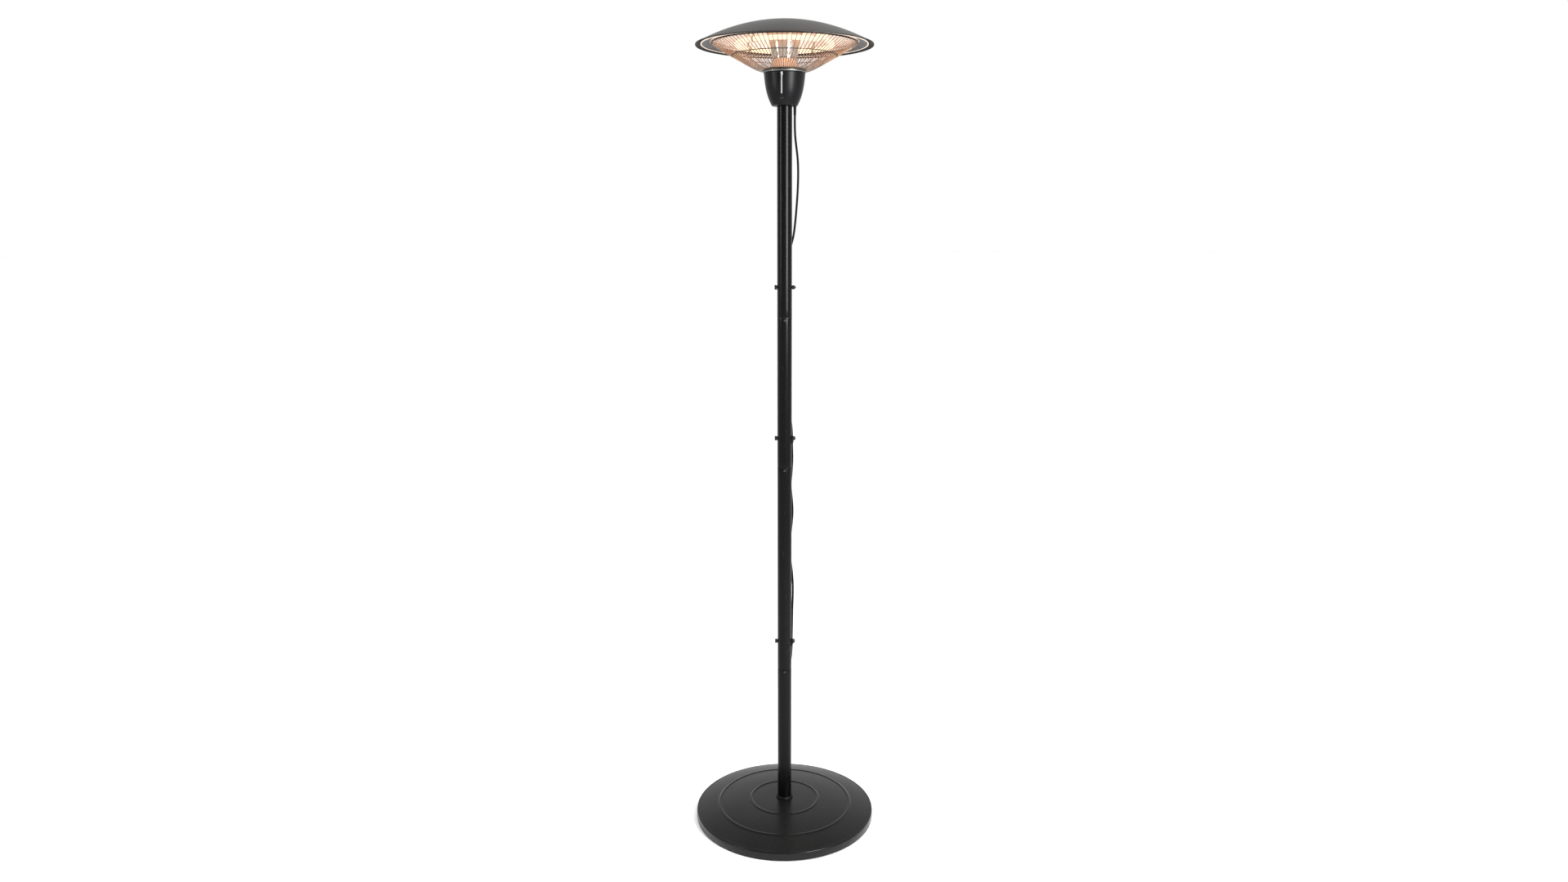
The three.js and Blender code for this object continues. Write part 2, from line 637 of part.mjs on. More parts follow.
// The route ends in a quarter circle down to the base and a short straight into the plug.
function cordRoute() {
  const bendEndY = PLUG_START_Y - 5;
  const bendR = bendEndY - CORD_ROUTE.at(-1)[1];
  const bend = [0, 0.25, 0.5, 0.75, 1].map((part) => {
    const angle = (part * Math.PI) / 2;
    return [0, bendEndY - bendR * Math.cos(angle), PLUG_Z + bendR - bendR * Math.sin(angle)];
  });
  return [...CORD_ROUTE, ...bend, [0, PLUG_START_Y - 2, PLUG_Z], [0, PLUG_START_Y - GAP, PLUG_Z]];
}

function mainsPlug() {
  const body = turned(
    [
      [0, 0],
      [3.8, 0],
      [5.6, 28],
      [11, 33],
      [PLUG_R - 1, 42],
      [PLUG_R, 46],
      [PLUG_R, 62],
      [0, 62],
    ],
    24,
  );
  const pins = [-9.5, 9.5].map((x) => tube(0, 2.4, 60, 81, 12).translate(x, 0, 0));
  const plug = joined([body, ...pins]);
  return plug.rotateX(-Math.PI / 2).translate(0, PLUG_START_Y, PLUG_Z);
}

function addMainsCord() {
  addPiece("mains_cord", swept(cordRoute(), CORD_R, 8, 80), RUBBER);
  addPiece("mains_plug", mainsPlug(), RUBBER);
}

addBase();
addPole();
addPoleFasteners();
addHousing();
addElectrics();
addPullSwitch();
addReflector();
addLamp();
addHood();
addGuard();
addMainsCord();

export default heater;
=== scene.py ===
"""Free-standing electric heater: weighted base, four-section pole, housing, reflector, lamp, guard and hood.

Metres, +Z up, origin on the floor under the pole. The pull switch hangs on the -Y side.
"""

import math

import bmesh
import bpy
import numpy as np
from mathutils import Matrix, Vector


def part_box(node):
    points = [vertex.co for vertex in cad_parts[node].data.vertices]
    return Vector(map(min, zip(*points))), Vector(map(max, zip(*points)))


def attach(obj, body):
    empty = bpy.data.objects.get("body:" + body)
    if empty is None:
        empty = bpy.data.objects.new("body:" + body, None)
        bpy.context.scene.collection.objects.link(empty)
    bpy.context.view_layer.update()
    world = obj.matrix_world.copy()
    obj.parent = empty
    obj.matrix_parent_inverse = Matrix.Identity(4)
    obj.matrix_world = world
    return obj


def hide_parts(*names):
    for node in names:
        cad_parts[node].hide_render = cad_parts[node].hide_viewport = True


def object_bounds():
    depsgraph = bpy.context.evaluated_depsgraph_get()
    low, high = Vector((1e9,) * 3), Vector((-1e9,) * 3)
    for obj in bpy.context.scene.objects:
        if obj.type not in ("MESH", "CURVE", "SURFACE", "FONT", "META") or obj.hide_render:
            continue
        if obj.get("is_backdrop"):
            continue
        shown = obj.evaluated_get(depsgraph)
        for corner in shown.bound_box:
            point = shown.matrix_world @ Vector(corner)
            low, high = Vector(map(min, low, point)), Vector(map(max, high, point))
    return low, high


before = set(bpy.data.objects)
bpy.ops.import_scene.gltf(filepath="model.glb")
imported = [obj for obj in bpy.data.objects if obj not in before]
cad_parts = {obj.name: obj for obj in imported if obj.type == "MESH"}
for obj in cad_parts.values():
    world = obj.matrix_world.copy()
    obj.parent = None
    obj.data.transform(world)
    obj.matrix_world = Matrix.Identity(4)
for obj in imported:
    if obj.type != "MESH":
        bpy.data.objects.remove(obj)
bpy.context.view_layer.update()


# ---- Base cover ----
# One round steel sheet, pressed into a shallow dome with two raised beads and a turned-down edge,
# then powder coated black. A bolt up through the middle clamps it between the weight and the pole.
def grid_mesh(name, grid, wrap_rows=False, scale_v=None):
    """Mesh of a grid of points, rows by columns: each face joins point (i, j) to (i, j+1), (i+1, j+1) and
    (i+1, j).

    The columns wrap, and rows that wrap join the last to the first. A row drawn together to one point closes
    as a pole. The UV map holds the column as 0 to 1 and the row, or the length along the rows, as V.
    """
    rows, columns = grid.shape[:2]
    i, j = np.meshgrid(np.arange(rows if wrap_rows else rows - 1), np.arange(columns), indexing="ij")
    i, j = i.ravel(), j.ravel()
    corner_rows = np.stack([i, i, i + 1, i + 1], 1)
    corner_columns = np.stack([j, j + 1, j + 1, j], 1)
    faces = (corner_rows % rows) * columns + corner_columns % columns
    mesh = bpy.data.meshes.new(name)
    mesh.vertices.add(rows * columns)
    mesh.vertices.foreach_set("co", grid.reshape(-1).astype(np.float32))
    mesh.loops.add(faces.size)
    mesh.loops.foreach_set("vertex_index", faces.ravel().astype(np.int32))
    mesh.polygons.add(len(faces))
    mesh.polygons.foreach_set("loop_start", np.arange(0, faces.size, 4, dtype=np.int32))
    mesh.update(calc_edges=True)
    along = np.arange(rows + 1.0) if scale_v is None else np.append(scale_v, scale_v[-1])
    uv = np.stack([corner_columns / columns, along[corner_rows]], 2)
    mesh.uv_layers.new(name="UVMap").data.foreach_set("uv", uv.reshape(-1).astype(np.float32))
    return mesh


def merged(name, meshes, crease=35.0):
    """One mesh from several: doubles merged, so that seams and poles close, faces turned outwards, edges
    sharper than the crease angle left hard and the rest smooth."""
    built = bmesh.new()
    for mesh in meshes:
        built.from_mesh(mesh)
        bpy.data.meshes.remove(mesh)
    bmesh.ops.remove_doubles(built, verts=built.verts, dist=1e-7)
    bmesh.ops.dissolve_degenerate(built, edges=built.edges, dist=1e-8)
    bmesh.ops.recalc_face_normals(built, faces=built.faces)
    mesh = bpy.data.meshes.new(name)
    built.to_mesh(mesh)
    built.free()
    mesh.shade_smooth()
    mesh.set_sharp_from_angle(angle=math.radians(crease))
    return mesh


def placed(name, data):
    """An object for a mesh, lamp or camera, in the scene."""
    thing = bpy.data.objects.new(name, data)
    bpy.context.scene.collection.objects.link(thing)
    return thing


def add_piece(name, meshes, finish, stands_for, body="heater", crease=35.0):
    """Puts a piece in the scene at the origin, riding on its body in place of the CAD nodes it stands for."""
    piece = placed(name, merged(name, meshes, crease))
    piece.data.materials.append(finish)
    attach(piece, body)
    if stands_for:
        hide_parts(*stands_for)
    return piece


def full_turn(steps):
    return np.linspace(0, 2 * np.pi, steps, endpoint=False)


def turned(along, radius, turns, axis, centre):
    """Grid of rings about an axis: at each step along it, the centre plus the radius times (cos a, sin a).
    The radius is one number for each ring, or one for each of its points."""
    angle = full_turn(turns)
    radius = np.asarray(radius, float).reshape(len(along), -1)
    first, second, third = {"x": (1, 2, 0), "y": (0, 2, 1), "z": (0, 1, 2)}[axis]
    grid = np.empty((len(along), turns, 3))
    grid[..., first] = centre[0] + radius * np.cos(angle)
    grid[..., second] = centre[1] + radius * np.sin(angle)
    grid[..., third] = np.asarray(along, float)[:, None]
    return grid


def lathe(profile, turns=128, centre=(0.0, 0.0), closed=True):
    """Surface of revolution about a vertical axis: (r cos a, r sin a, z) for each profile point (r, z)."""
    r, z = np.asarray(profile, float).T
    return grid_mesh("lathe", turned(z, r, turns, "z", centre), wrap_rows=closed)


def rounded(outline, radius, steps=4, closed=True):
    """Outline with each corner replaced by a quadratic curve (1-t)^2 a + 2t(1-t) p + t^2 b, where a and b lie
    on the edges either side of corner p, a radius away or half the edge where that is shorter."""
    p = np.asarray(outline, float)
    before, after = np.roll(p, 1, 0) - p, np.roll(p, -1, 0) - p
    ends = []
    for edge in (before, after):
        length = np.maximum(np.linalg.norm(edge, axis=1, keepdims=True), 1e-12)
        ends.append(p + edge / length * np.minimum(radius, 0.5 * length))
    t = np.linspace(0, 1, steps)[None, :, None]
    a, b, corner = ends[0][:, None], ends[1][:, None], p[:, None]
    curve = (1 - t) ** 2 * a + 2 * t * (1 - t) * corner + t**2 * b
    if not closed:
        curve[0], curve[-1] = p[0], p[-1]
    return curve.reshape(-1, 2)


class Value:
    """A node's output that reads as arithmetic: each operator adds one Math node."""

    def __init__(self, nodes, source):
        self.nodes = nodes
        self.source = source

    def maths(self, operation, *values):
        return self.nodes.node("ShaderNodeMath", {"operation": operation}, dict(enumerate(values)))

    def __add__(self, other):
        return self.maths("ADD", self, other)

    __radd__ = __add__

    def __sub__(self, other):
        return self.maths("SUBTRACT", self, other)

    def __rsub__(self, other):
        return self.maths("SUBTRACT", other, self)

    def __mul__(self, other):
        return self.maths("MULTIPLY", self, other)

    __rmul__ = __mul__

    def between(self, low, high):
        """0 below low, 1 above high, and a smooth step from one to the other."""
        values = {"Value": self, "From Min": low, "From Max": high}
        return self.nodes.node("ShaderNodeMapRange", {"interpolation_type": "SMOOTHSTEP"}, values)


class Nodes:
    """The node tree of a material or a world, with node() for every node in it."""

    def __init__(self, owner):
        owner.use_nodes = True
        self.tree = owner.node_tree
        self.tree.nodes.clear()

    def feed(self, socket, value):
        if isinstance(value, Value):
            self.tree.links.new(value.source, socket)
        else:
            socket.default_value = value

    def node(self, kind, settings, values, out=0):
        """Adds a node, sets its settings, then its sockets' values or links, and returns one output."""
        made = self.tree.nodes.new(kind)
        for key, value in settings.items():
            setattr(made, key, value)
        for key, value in values.items():
            self.feed(made.inputs[key], value)
        return Value(self, made.outputs[out])

    def part(self, vector, axis):
        return self.node("ShaderNodeSeparateXYZ", {}, {0: vector}, axis)


class Finish(Nodes):
    """One material: a Principled shader, and the patterns in Object coordinates that feed it."""

    def __init__(self, name):
        self.material = bpy.data.materials.new(name)
        super().__init__(self.material)
        output = self.tree.nodes.new("ShaderNodeOutputMaterial")
        self.shader = self.tree.nodes.new("ShaderNodeBsdfPrincipled")
        self.tree.links.new(self.shader.outputs[0], output.inputs["Surface"])
        self.at = self.node("ShaderNodeTexCoord", {}, {}, "Object")

    def surface(self, values):
        """Sets the shader's own sockets, and returns the material."""
        for key, value in values.items():
            self.feed(self.shader.inputs[key], value)
        return self.material

    def stretched(self, factors):
        return self.node("ShaderNodeVectorMath", {"operation": "MULTIPLY"}, {0: self.at, 1: factors})

    def from_axis(self):
        """Distance from the upright axis through the origin."""
        flat = self.stretched((1, 1, 0))
        return self.node("ShaderNodeVectorMath", {"operation": "LENGTH"}, {0: flat}, "Value")

    def facing_up(self):
        """1 where the surface faces up, 0 where it is upright and -1 where it faces down."""
        return self.part(self.node("ShaderNodeNewGeometry", {}, {}, "Normal"), "Z")

    def noise(self, scale, detail=2.0):
        """Noise of one scale, or of a scale for each axis."""
        at = self.at
        if isinstance(scale, tuple):
            at, scale = self.stretched(scale), 1.0
        return self.node("ShaderNodeTexNoise", {}, {"Vector": at, "Scale": scale, "Detail": detail}, "Fac")

    def cells(self, scale):
        """Distance to the nearest of many scattered points."""
        return self.node("ShaderNodeTexVoronoi", {}, {"Vector": self.at, "Scale": scale}, "Distance")

    def mix(self, share, first, second):
        return self.node("ShaderNodeMix", {"data_type": "RGBA"}, {0: share, 6: first, 7: second}, 2)

    def bump(self, height, distance):
        values = {"Height": height, "Distance": distance, "Strength": 1.0}
        return self.node("ShaderNodeBump", {}, values, "Normal")


def grey(level, warmth=0.0):
    """A linear colour of that level, a little redder where warmth is above 0."""
    return (level * (1 + warmth), level, level * (1 - warmth), 1.0)


def powder_coat(name, colour, rough, dust=0.0, specular=0.5, metallic=0.0):
    """Baked powder paint: orange peel about 1.5 mm across over a 0.4 mm grain, hand-sized changes of gloss,
    rare fine rubs along the height, and dust that settles where the surface faces up."""
    paint = Finish(name)
    peel = paint.noise(640)
    grain = paint.noise(2500)
    patches = paint.noise(9, 3)
    rubs = paint.noise((1000, 1000, 28)).between(0.69, 0.76)
    up = paint.facing_up().between(0.5, 1)
    specks = paint.noise(420, 4).between(0.50, 0.72) * paint.noise(16, 3).between(0.3, 0.75)
    settled = up * specks * dust
    shade = paint.mix(patches, colour, tuple(c * 1.35 for c in colour[:3]) + (1.0,))
    shade = paint.mix(rubs * 0.10 + settled, shade, (0.30, 0.29, 0.27, 1.0))
    return paint.surface({
        "Base Color": shade,
        "Roughness": rough + (patches - 0.5) * 0.12 + settled * 0.4 + (grain - 0.5) * 0.08,
        "Metallic": metallic,
        "Specular IOR Level": specular,
        "Normal": paint.bump(peel * 0.75 + grain * 0.25, 0.00009),
    })


cover_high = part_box("base_cover")[1]
BASE_R = cover_high.x
DOME_TOP = cover_high.z
DOME_EDGE = 0.024
BEAD_R = (0.093, 0.182)
BEAD_RISE = 0.0020
BEAD_HALF_WIDTH = 0.0055
SHEET = 0.0015
BOLT_HOLE_R = 0.0055
EDGE_BEND_R = 0.0040


def dome_height(r):
    """Dome that falls from its top by the radius to the power 2.5, with a cosine-squared bead at each bead
    radius."""
    height = DOME_TOP - (DOME_TOP - DOME_EDGE) * (r / BASE_R) ** 2.5
    for bead in BEAD_R:
        across = np.clip((r - bead) / BEAD_HALF_WIDTH, -1, 1)
        height = height + BEAD_RISE * np.cos(across * np.pi / 2) ** 2
    return height


def base_profile():
    """Outer surface from the bolt hole to the edge, down the skirt, and back a sheet's thickness inside."""
    r = np.unique(np.concatenate([
        np.linspace(BOLT_HOLE_R, BASE_R - EDGE_BEND_R - 0.0002, 44),
        *[np.linspace(bead - BEAD_HALF_WIDTH, bead + BEAD_HALF_WIDTH, 17) for bead in BEAD_R],
    ]))
    top = np.stack([r, dome_height(r)], 1)
    turn = np.linspace(0, np.pi / 2, 8)
    low_z = dome_height(r[-1:])[0] - EDGE_BEND_R
    edge = [BASE_R - EDGE_BEND_R, low_z] + EDGE_BEND_R * np.stack([np.sin(turn), np.cos(turn)], 1)
    hem = [
        [BASE_R, 0.0065], [BASE_R - 0.0004, 0.0058], [BASE_R - 0.0002, 0.0045], [BASE_R - 0.0006, 0.0030],
        [BASE_R - SHEET, 0.0027], [BASE_R - SHEET, low_z - 0.001],
    ]
    inner_r = np.linspace(BASE_R - 0.006, BOLT_HOLE_R, 24)
    under = np.stack([inner_r, DOME_TOP - (DOME_TOP - DOME_EDGE) * (inner_r / BASE_R) ** 2.5 - SHEET], 1)
    return np.concatenate([top, edge, hem, under])


BASE_PAINT = powder_coat("base_black_powder", grey(0.0050, 0.02), 0.27, dust=0.03, specular=0.22)
add_piece("base_plate", [lathe(base_profile(), 256)], BASE_PAINT, ["base_cover"], crease=50)


# ---- Inside the base ----
# A ring of cast concrete on a moulded tray gives the base its weight. A zinc-plated bolt and washer
# come up from the recess underneath and pull the whole stack against the foot of the pole.
def give(finish, *nodes):
    """The CAD nodes keep their meshes and take this finish."""
    for node in nodes:
        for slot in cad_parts[node].material_slots:
            slot.material = finish


def cast_concrete():
    """Cast concrete: grey cement with pale and dark sand grains, and open air holes 2 to 4 mm across, dented
    in by the bump, with painted shade: the holes are coloured dark grey.
    """
    cast = Finish("cast_concrete")
    clouds = cast.noise(30, 4)
    sand = cast.noise(900, 3)
    cells = cast.cells(160.0)
    holes = 1 - cells.between(0.08, 0.2)
    shade = cast.mix(clouds * 0.6 + sand * 0.4, (0.20, 0.19, 0.17, 1), (0.42, 0.41, 0.38, 1))
    return cast.surface({
        # Painted shade: the air holes are coloured dark grey.
        "Base Color": cast.mix(holes, shade, (0.06, 0.06, 0.055, 1)),
        "Roughness": 0.82 + sand * 0.12,
        "Normal": cast.bump(sand * 0.3 - holes, 0.0008),
    })


def zinc_plate(name, tint, rough):
    """Bright zinc over machined steel: fine turning lines round the axis, clouded gloss and dull marks."""
    zinc = Finish(name)
    clouds = zinc.noise(70, 4)
    lines = zinc.noise((60, 60, 5000))
    marks = zinc.noise(420, 3).between(0.62, 0.7)
    pale = tuple(min(1.0, c * 1.25) for c in tint)
    shade = zinc.mix(clouds, (*tint, 1.0), (*pale, 1.0))
    return zinc.surface({
        "Base Color": zinc.mix(marks * 0.4, shade, (0.18, 0.17, 0.16, 1)),
        "Metallic": 0.95,
        "Roughness": rough + clouds * 0.14 + marks * 0.2,
        "Normal": zinc.bump(lines, 0.00002),
    })


def moulded(name, level, rough, specular=0.5):
    """Moulded plastic: spark-eroded grain 0.5 mm across, slight sheen changes, and small pale scuffs."""
    plastic = Finish(name)
    erosion = plastic.noise(1900, 3)
    flow = plastic.noise((14, 14, 40), 3)
    scuffs = plastic.noise((260, 260, 900)).between(0.70, 0.78)
    shade = plastic.mix(flow, grey(level), grey(level * 1.5, 0.02))
    return plastic.surface({
        "Base Color": plastic.mix(scuffs * 0.12, shade, grey(0.22)),
        "Roughness": rough + (erosion - 0.5) * 0.12 + flow * 0.05,
        "Specular IOR Level": specular,
        "Normal": plastic.bump(erosion, 0.00005),
    })


ZINC = zinc_plate("zinc_plated_steel", (0.55, 0.56, 0.58), 0.34)
give(cast_concrete(), "base_weight")
give(moulded("tray_black_plastic", 0.014, 0.55), "base_tray")
give(ZINC, "base_washer", "base_bolt")


# ---- Feet ----
# Four soft rubber discs, moulded with two grip grooves underneath and a small chamfer, and glued to the
# tray. They lift the base 2 mm and keep it from sliding.
def rubber(name, level, scale, specular):
    """Vulcanised rubber: fine matt grain with chalky bloom in patches."""
    soft = Finish(name)
    grain = soft.noise(scale, 3)
    bloom = soft.noise(45, 4).between(0.45, 0.75)
    return soft.surface({
        "Base Color": soft.mix(bloom * 0.5, grey(level), grey(level * 2.6, 0.03)),
        "Roughness": 0.70 + grain * 0.12 + bloom * 0.10,
        "Specular IOR Level": specular,
        "Normal": soft.bump(grain, 0.00006),
    })


def span(node):
    """A CAD node's lowest and highest corners, its middle, and half its size along each axis."""
    low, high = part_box(node)
    return low, high, (low + high) / 2, (high - low) / 2


def foot_meshes():
    """Disc profile with two V grooves underneath, turned about each foot's own axis."""
    meshes = []
    for node in FOOT_NODES:
        _, high, middle, half = span(node)
        r = half.x
        outline = [
            [0, 0], [0.0045, 0], [0.0050, 0.0007], [0.0055, 0], [0.0095, 0], [0.0100, 0.0007],
            [0.0105, 0], [r - 0.0006, 0], [r, 0.0006], [r, high.z], [0, high.z],
        ]
        meshes.append(lathe(rounded(outline, 0.0003, 3, closed=False), 48, middle[:2], closed=False))
    return meshes


FOOT_NODES = [f"rubber_foot_{i}" for i in range(1, 5)]
FOOT_RUBBER = rubber("foot_rubber", 0.016, 1500.0, 0.35)
add_piece("foot_pads", foot_meshes(), FOOT_RUBBER, FOOT_NODES)


# ---- Pole ----
# Four lengths of 38 mm steel tube with 1.2 mm wall, powder coated in satin black. Each end is cut square
# with a broken edge, and a plated sleeve inside carries each joint.
POLE_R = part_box("pole_section_1")[1].x
POLE_WALL = 0.0012
POLE_PAINT = powder_coat("pole_black_powder", grey(0.0022, 0.06), 0.24, dust=0.02, specular=0.12)


def tube_profile(inner, outer, low, high, edge=0.0005, steps=24):
    """Tube wall between two heights, its edges rounded and its long sides cut into even steps."""
    z = np.linspace(low + edge, high - edge, steps)
    outside = np.stack([np.full(steps, outer), z], 1)
    inside = np.stack([np.full(steps, inner), z[::-1]], 1)
    turn = np.linspace(0, np.pi / 2, 5)[1:-1, None]
    top = [outer - edge, high - edge] + edge * np.concatenate([np.cos(turn), np.sin(turn)], 1)
    bottom = [outer - edge, low + edge] + edge * np.concatenate([np.sin(turn), -np.cos(turn)], 1)
    lip = np.array([[outer - edge, high], [inner, high]])
    foot = np.array([[inner, low], [outer - edge, low]])
    return np.concatenate([outside, top, lip, inside, foot, bottom])


for index in range(1, 5):
    node = f"pole_section_{index}"
    low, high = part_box(node)
    section = lathe(tube_profile(POLE_R - POLE_WALL, POLE_R, low.z, high.z), 72)
    add_piece(f"pole_tube_{index}", [section], POLE_PAINT, [node], crease=50)
give(ZINC, "coupling_sleeve_1", "coupling_sleeve_2", "coupling_sleeve_3", "pole_foot_plug")


# ---- Foot collar ----
# A moulded plastic ring, flared towards its foot. It slides down the pole, rests on the base cover and hides
# the gap where the two meet.
collar_low, collar_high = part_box("foot_collar")
collar_outline = [
    [POLE_R + 0.0003, collar_low.z],
    [collar_high.x, collar_low.z],
    [collar_high.x, collar_low.z + 0.0016],
    [POLE_R + 0.0018, collar_high.z - 0.0010],
    [POLE_R + 0.0003, collar_high.z],
]
COLLAR_PLASTIC = moulded("collar_black_plastic", 0.003, 0.42, specular=0.15)
collar_mesh = lathe(rounded(collar_outline, 0.0007), 96)
add_piece("foot_ring", [collar_mesh], COLLAR_PLASTIC, ["foot_collar"])


# ---- Joint rivets, cross bolts and nuts ----
# A domed rivet holds each sleeve in its lower tube. A black socket-head bolt goes right through tube and
# sleeve above each seam, and a chamfered hexagon nut closes it on the cord's side.
THREAD_PITCH = 0.001
SHANK_R = 0.003


def turned_to_x(profile, turns, z):
    """Surface of revolution about the line along X at height z, for profile points (x, r, hexagon, thread).

    Where hexagon is 1 the radius is that of a hexagon, r / cos(a mod 60 degrees - 30 degrees). Where thread
    is above 0 it is the depth of a screw groove, a triangle wave of x / pitch + a / full turn.
    """
    x, r, hexagon, thread = np.asarray(profile, float).T[:, :, None]
    angle = full_turn(turns)
    six = 1 / np.cos(np.mod(angle, np.pi / 3) - np.pi / 6)
    wave = np.abs(np.mod(x / THREAD_PITCH + angle / (2 * np.pi), 1) - 0.5) * 2
    radius = r * (1 + hexagon * (six - 1)) - thread * wave
    return grid_mesh("turned", turned(x[:, 0], radius, turns, "x", (0, z)))


def bolt_meshes(node):
    """Cap head with a rounded face and a hexagon socket, a plain shank and a screw thread at its end."""
    low, high, middle, half = span(node)
    z, head_r = middle.z, half.z
    head_end = -POLE_R - 0.0004
    head = [
        [low.x + 0.0036, 0, 1, 0], [low.x + 0.0036, 0.0024, 1, 0], [low.x + 0.0004, 0.0025, 1, 0],
        [low.x, 0.0029, 0.6, 0], [low.x, head_r - 0.0012, 0, 0], [low.x + 0.0003, head_r - 0.0005, 0, 0],
        [low.x + 0.0011, head_r, 0, 0], [head_end - 0.0004, head_r, 0, 0], [head_end, head_r - 0.0004, 0, 0],
        [head_end, SHANK_R, 0, 0],
    ]
    threaded = [[x, SHANK_R, 0, 0.00045] for x in np.linspace(POLE_R + 0.0002, high.x - 0.0008, 60)]
    shank = [[head_end, SHANK_R, 0, 0], [POLE_R, SHANK_R, 0, 0], *threaded]
    tip = [[high.x - 0.0002, SHANK_R - 0.0006, 0, 0], [high.x, SHANK_R - 0.0009, 0, 0], [high.x, 0, 0, 0]]
    return [turned_to_x(head, 48, z), turned_to_x(shank + tip, 24, z)]


def nut_meshes(node):
    """Hexagon prism whose corners are cut back by a cone at both faces, with its bore."""
    low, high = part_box(node)
    flat = (high.z - low.z) / 2 * math.cos(math.pi / 6)
    outline = [
        [low.x, 0.0031, 0, 0], [low.x, flat * 0.94, 0, 0], [low.x + 0.0007, flat, 0.55, 0],
        [low.x + 0.0012, flat, 1, 0], [high.x - 0.0012, flat, 1, 0], [high.x - 0.0007, flat, 0.55, 0],
        [high.x, flat * 0.94, 0, 0], [high.x, 0.0035, 0, 0], [high.x - 0.0004, 0.0031, 0, 0],
        [low.x, 0.0031, 0, 0],
    ]
    return [turned_to_x(outline, 48, (low.z + high.z) / 2)]


def rivet_meshes(node):
    """Low dome, a cosine of the distance from its axis, on a short shank through the tube wall."""
    low, _, middle, half = span(node)
    turn = np.linspace(0, np.pi / 2, 8)
    face = -POLE_R - 0.00005
    dome = np.stack([half.z * np.sin(turn), face + (low.y - face) * np.cos(turn)], 1)
    outline = np.concatenate([dome, [[0.002, face], [0.002, -POLE_R + 0.004], [0, -POLE_R + 0.004]]])
    return [grid_mesh("rivet", turned(outline[:, 1], outline[:, 0], 24, "y", (0, middle.z)))]


def black_oxide():
    """Blackened steel: dark, half-metallic, oily clouds, with bright wear where a key or spanner rubs."""
    steel = Finish("black_oxide_steel")
    clouds = steel.noise(260, 3)
    wear = steel.noise(1500, 3).between(0.62, 0.74)
    return steel.surface({
        "Base Color": steel.mix(wear * 0.35, grey(0.016), grey(0.30, 0.02)),
        "Metallic": 0.35 + wear * 0.4,
        "Roughness": 0.30 + clouds * 0.22,
        "Normal": steel.bump(clouds + wear * 0.3, 0.00003),
    })


BLACK_OXIDE = black_oxide()
for kind, make in (("cross_bolt", bolt_meshes), ("cross_nut", nut_meshes), ("coupling_rivet", rivet_meshes)):
    nodes = [f"{kind}_{i}" for i in range(1, 4)]
    meshes = [mesh for node in nodes for mesh in make(node)]
    add_piece(f"{kind}s", meshes, BLACK_OXIDE, nodes)


# ---- Cord clips ----
# Two black plastic clips. Each has a flat tab, which a cross bolt's nut holds against the pole, and a loop
# that closes round the cord.
CLIP_PLASTIC = moulded("clip_black_plastic", 0.005, 0.42, specular=0.25)
CLIP_THICKNESS = 0.0012
CLIP_LOOP_R = 0.0035
CLIP_LOOP_HEIGHT = 0.008


def capped(grid):
    """The grid between two more rows, each drawn together to the middle of the end row beside it."""
    ends = grid[[0, -1]].mean(1, keepdims=True).repeat(grid.shape[1], 1)
    return np.concatenate([ends[:1], grid, ends[1:]])


def unit(vectors):
    return vectors / np.linalg.norm(vectors, axis=1, keepdims=True)


def beside(line):
    """Unit vectors in the plane, square to a line of (x, y) points and to its right."""
    forward = unit(np.gradient(line, axis=0))
    return np.stack([forward[:, 1], -forward[:, 0]], 1)


def clip_meshes(node):
    """Two strips with rounded-rectangle sections: a straight tab beside the pole, tall under the nut and as
    tall as the loop from there to the cord, and a loop nine tenths of the way round the cord."""
    low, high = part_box(node)
    cord = np.array([high.x, high.y]) - CLIP_LOOP_R - CLIP_THICKNESS / 2
    tab_y = np.array([low.y, 0.0028, 0.0032, cord[1] - CLIP_LOOP_R])
    tab = np.stack([np.full(4, POLE_R + 0.0004 + CLIP_THICKNESS / 2), tab_y], 1)
    turn = np.radians(np.linspace(-80, 245, 40))
    loop = cord + CLIP_LOOP_R * np.stack([np.cos(turn), np.sin(turn)], 1)
    tab_height = np.where(tab_y < 0.003, high.z - low.z, CLIP_LOOP_HEIGHT)
    corner = np.array([
        [-0.5, 0.06], [-0.35, 0], [0.35, 0], [0.5, 0.06], [0.5, 0.94], [0.35, 1], [-0.35, 1], [-0.5, 0.94],
    ])
    meshes = []
    for line, height in ((tab, tab_height[:, None]), (loop, CLIP_LOOP_HEIGHT)):
        grid = np.empty((len(line), len(corner), 3))
        grid[..., :2] = line[:, None] + beside(line)[:, None] * corner[None, :, :1] * CLIP_THICKNESS
        grid[..., 2] = low.z + height * corner[None, :, 1]
        meshes.append(grid_mesh("clip", capped(grid)))
    return meshes


CLIP_NODES = ["cord_clip_1", "cord_clip_2"]
CLIP_MESHES = [mesh for node in CLIP_NODES for mesh in clip_meshes(node)]
add_piece("cord_clip_pair", CLIP_MESHES, CLIP_PLASTIC, CLIP_NODES)


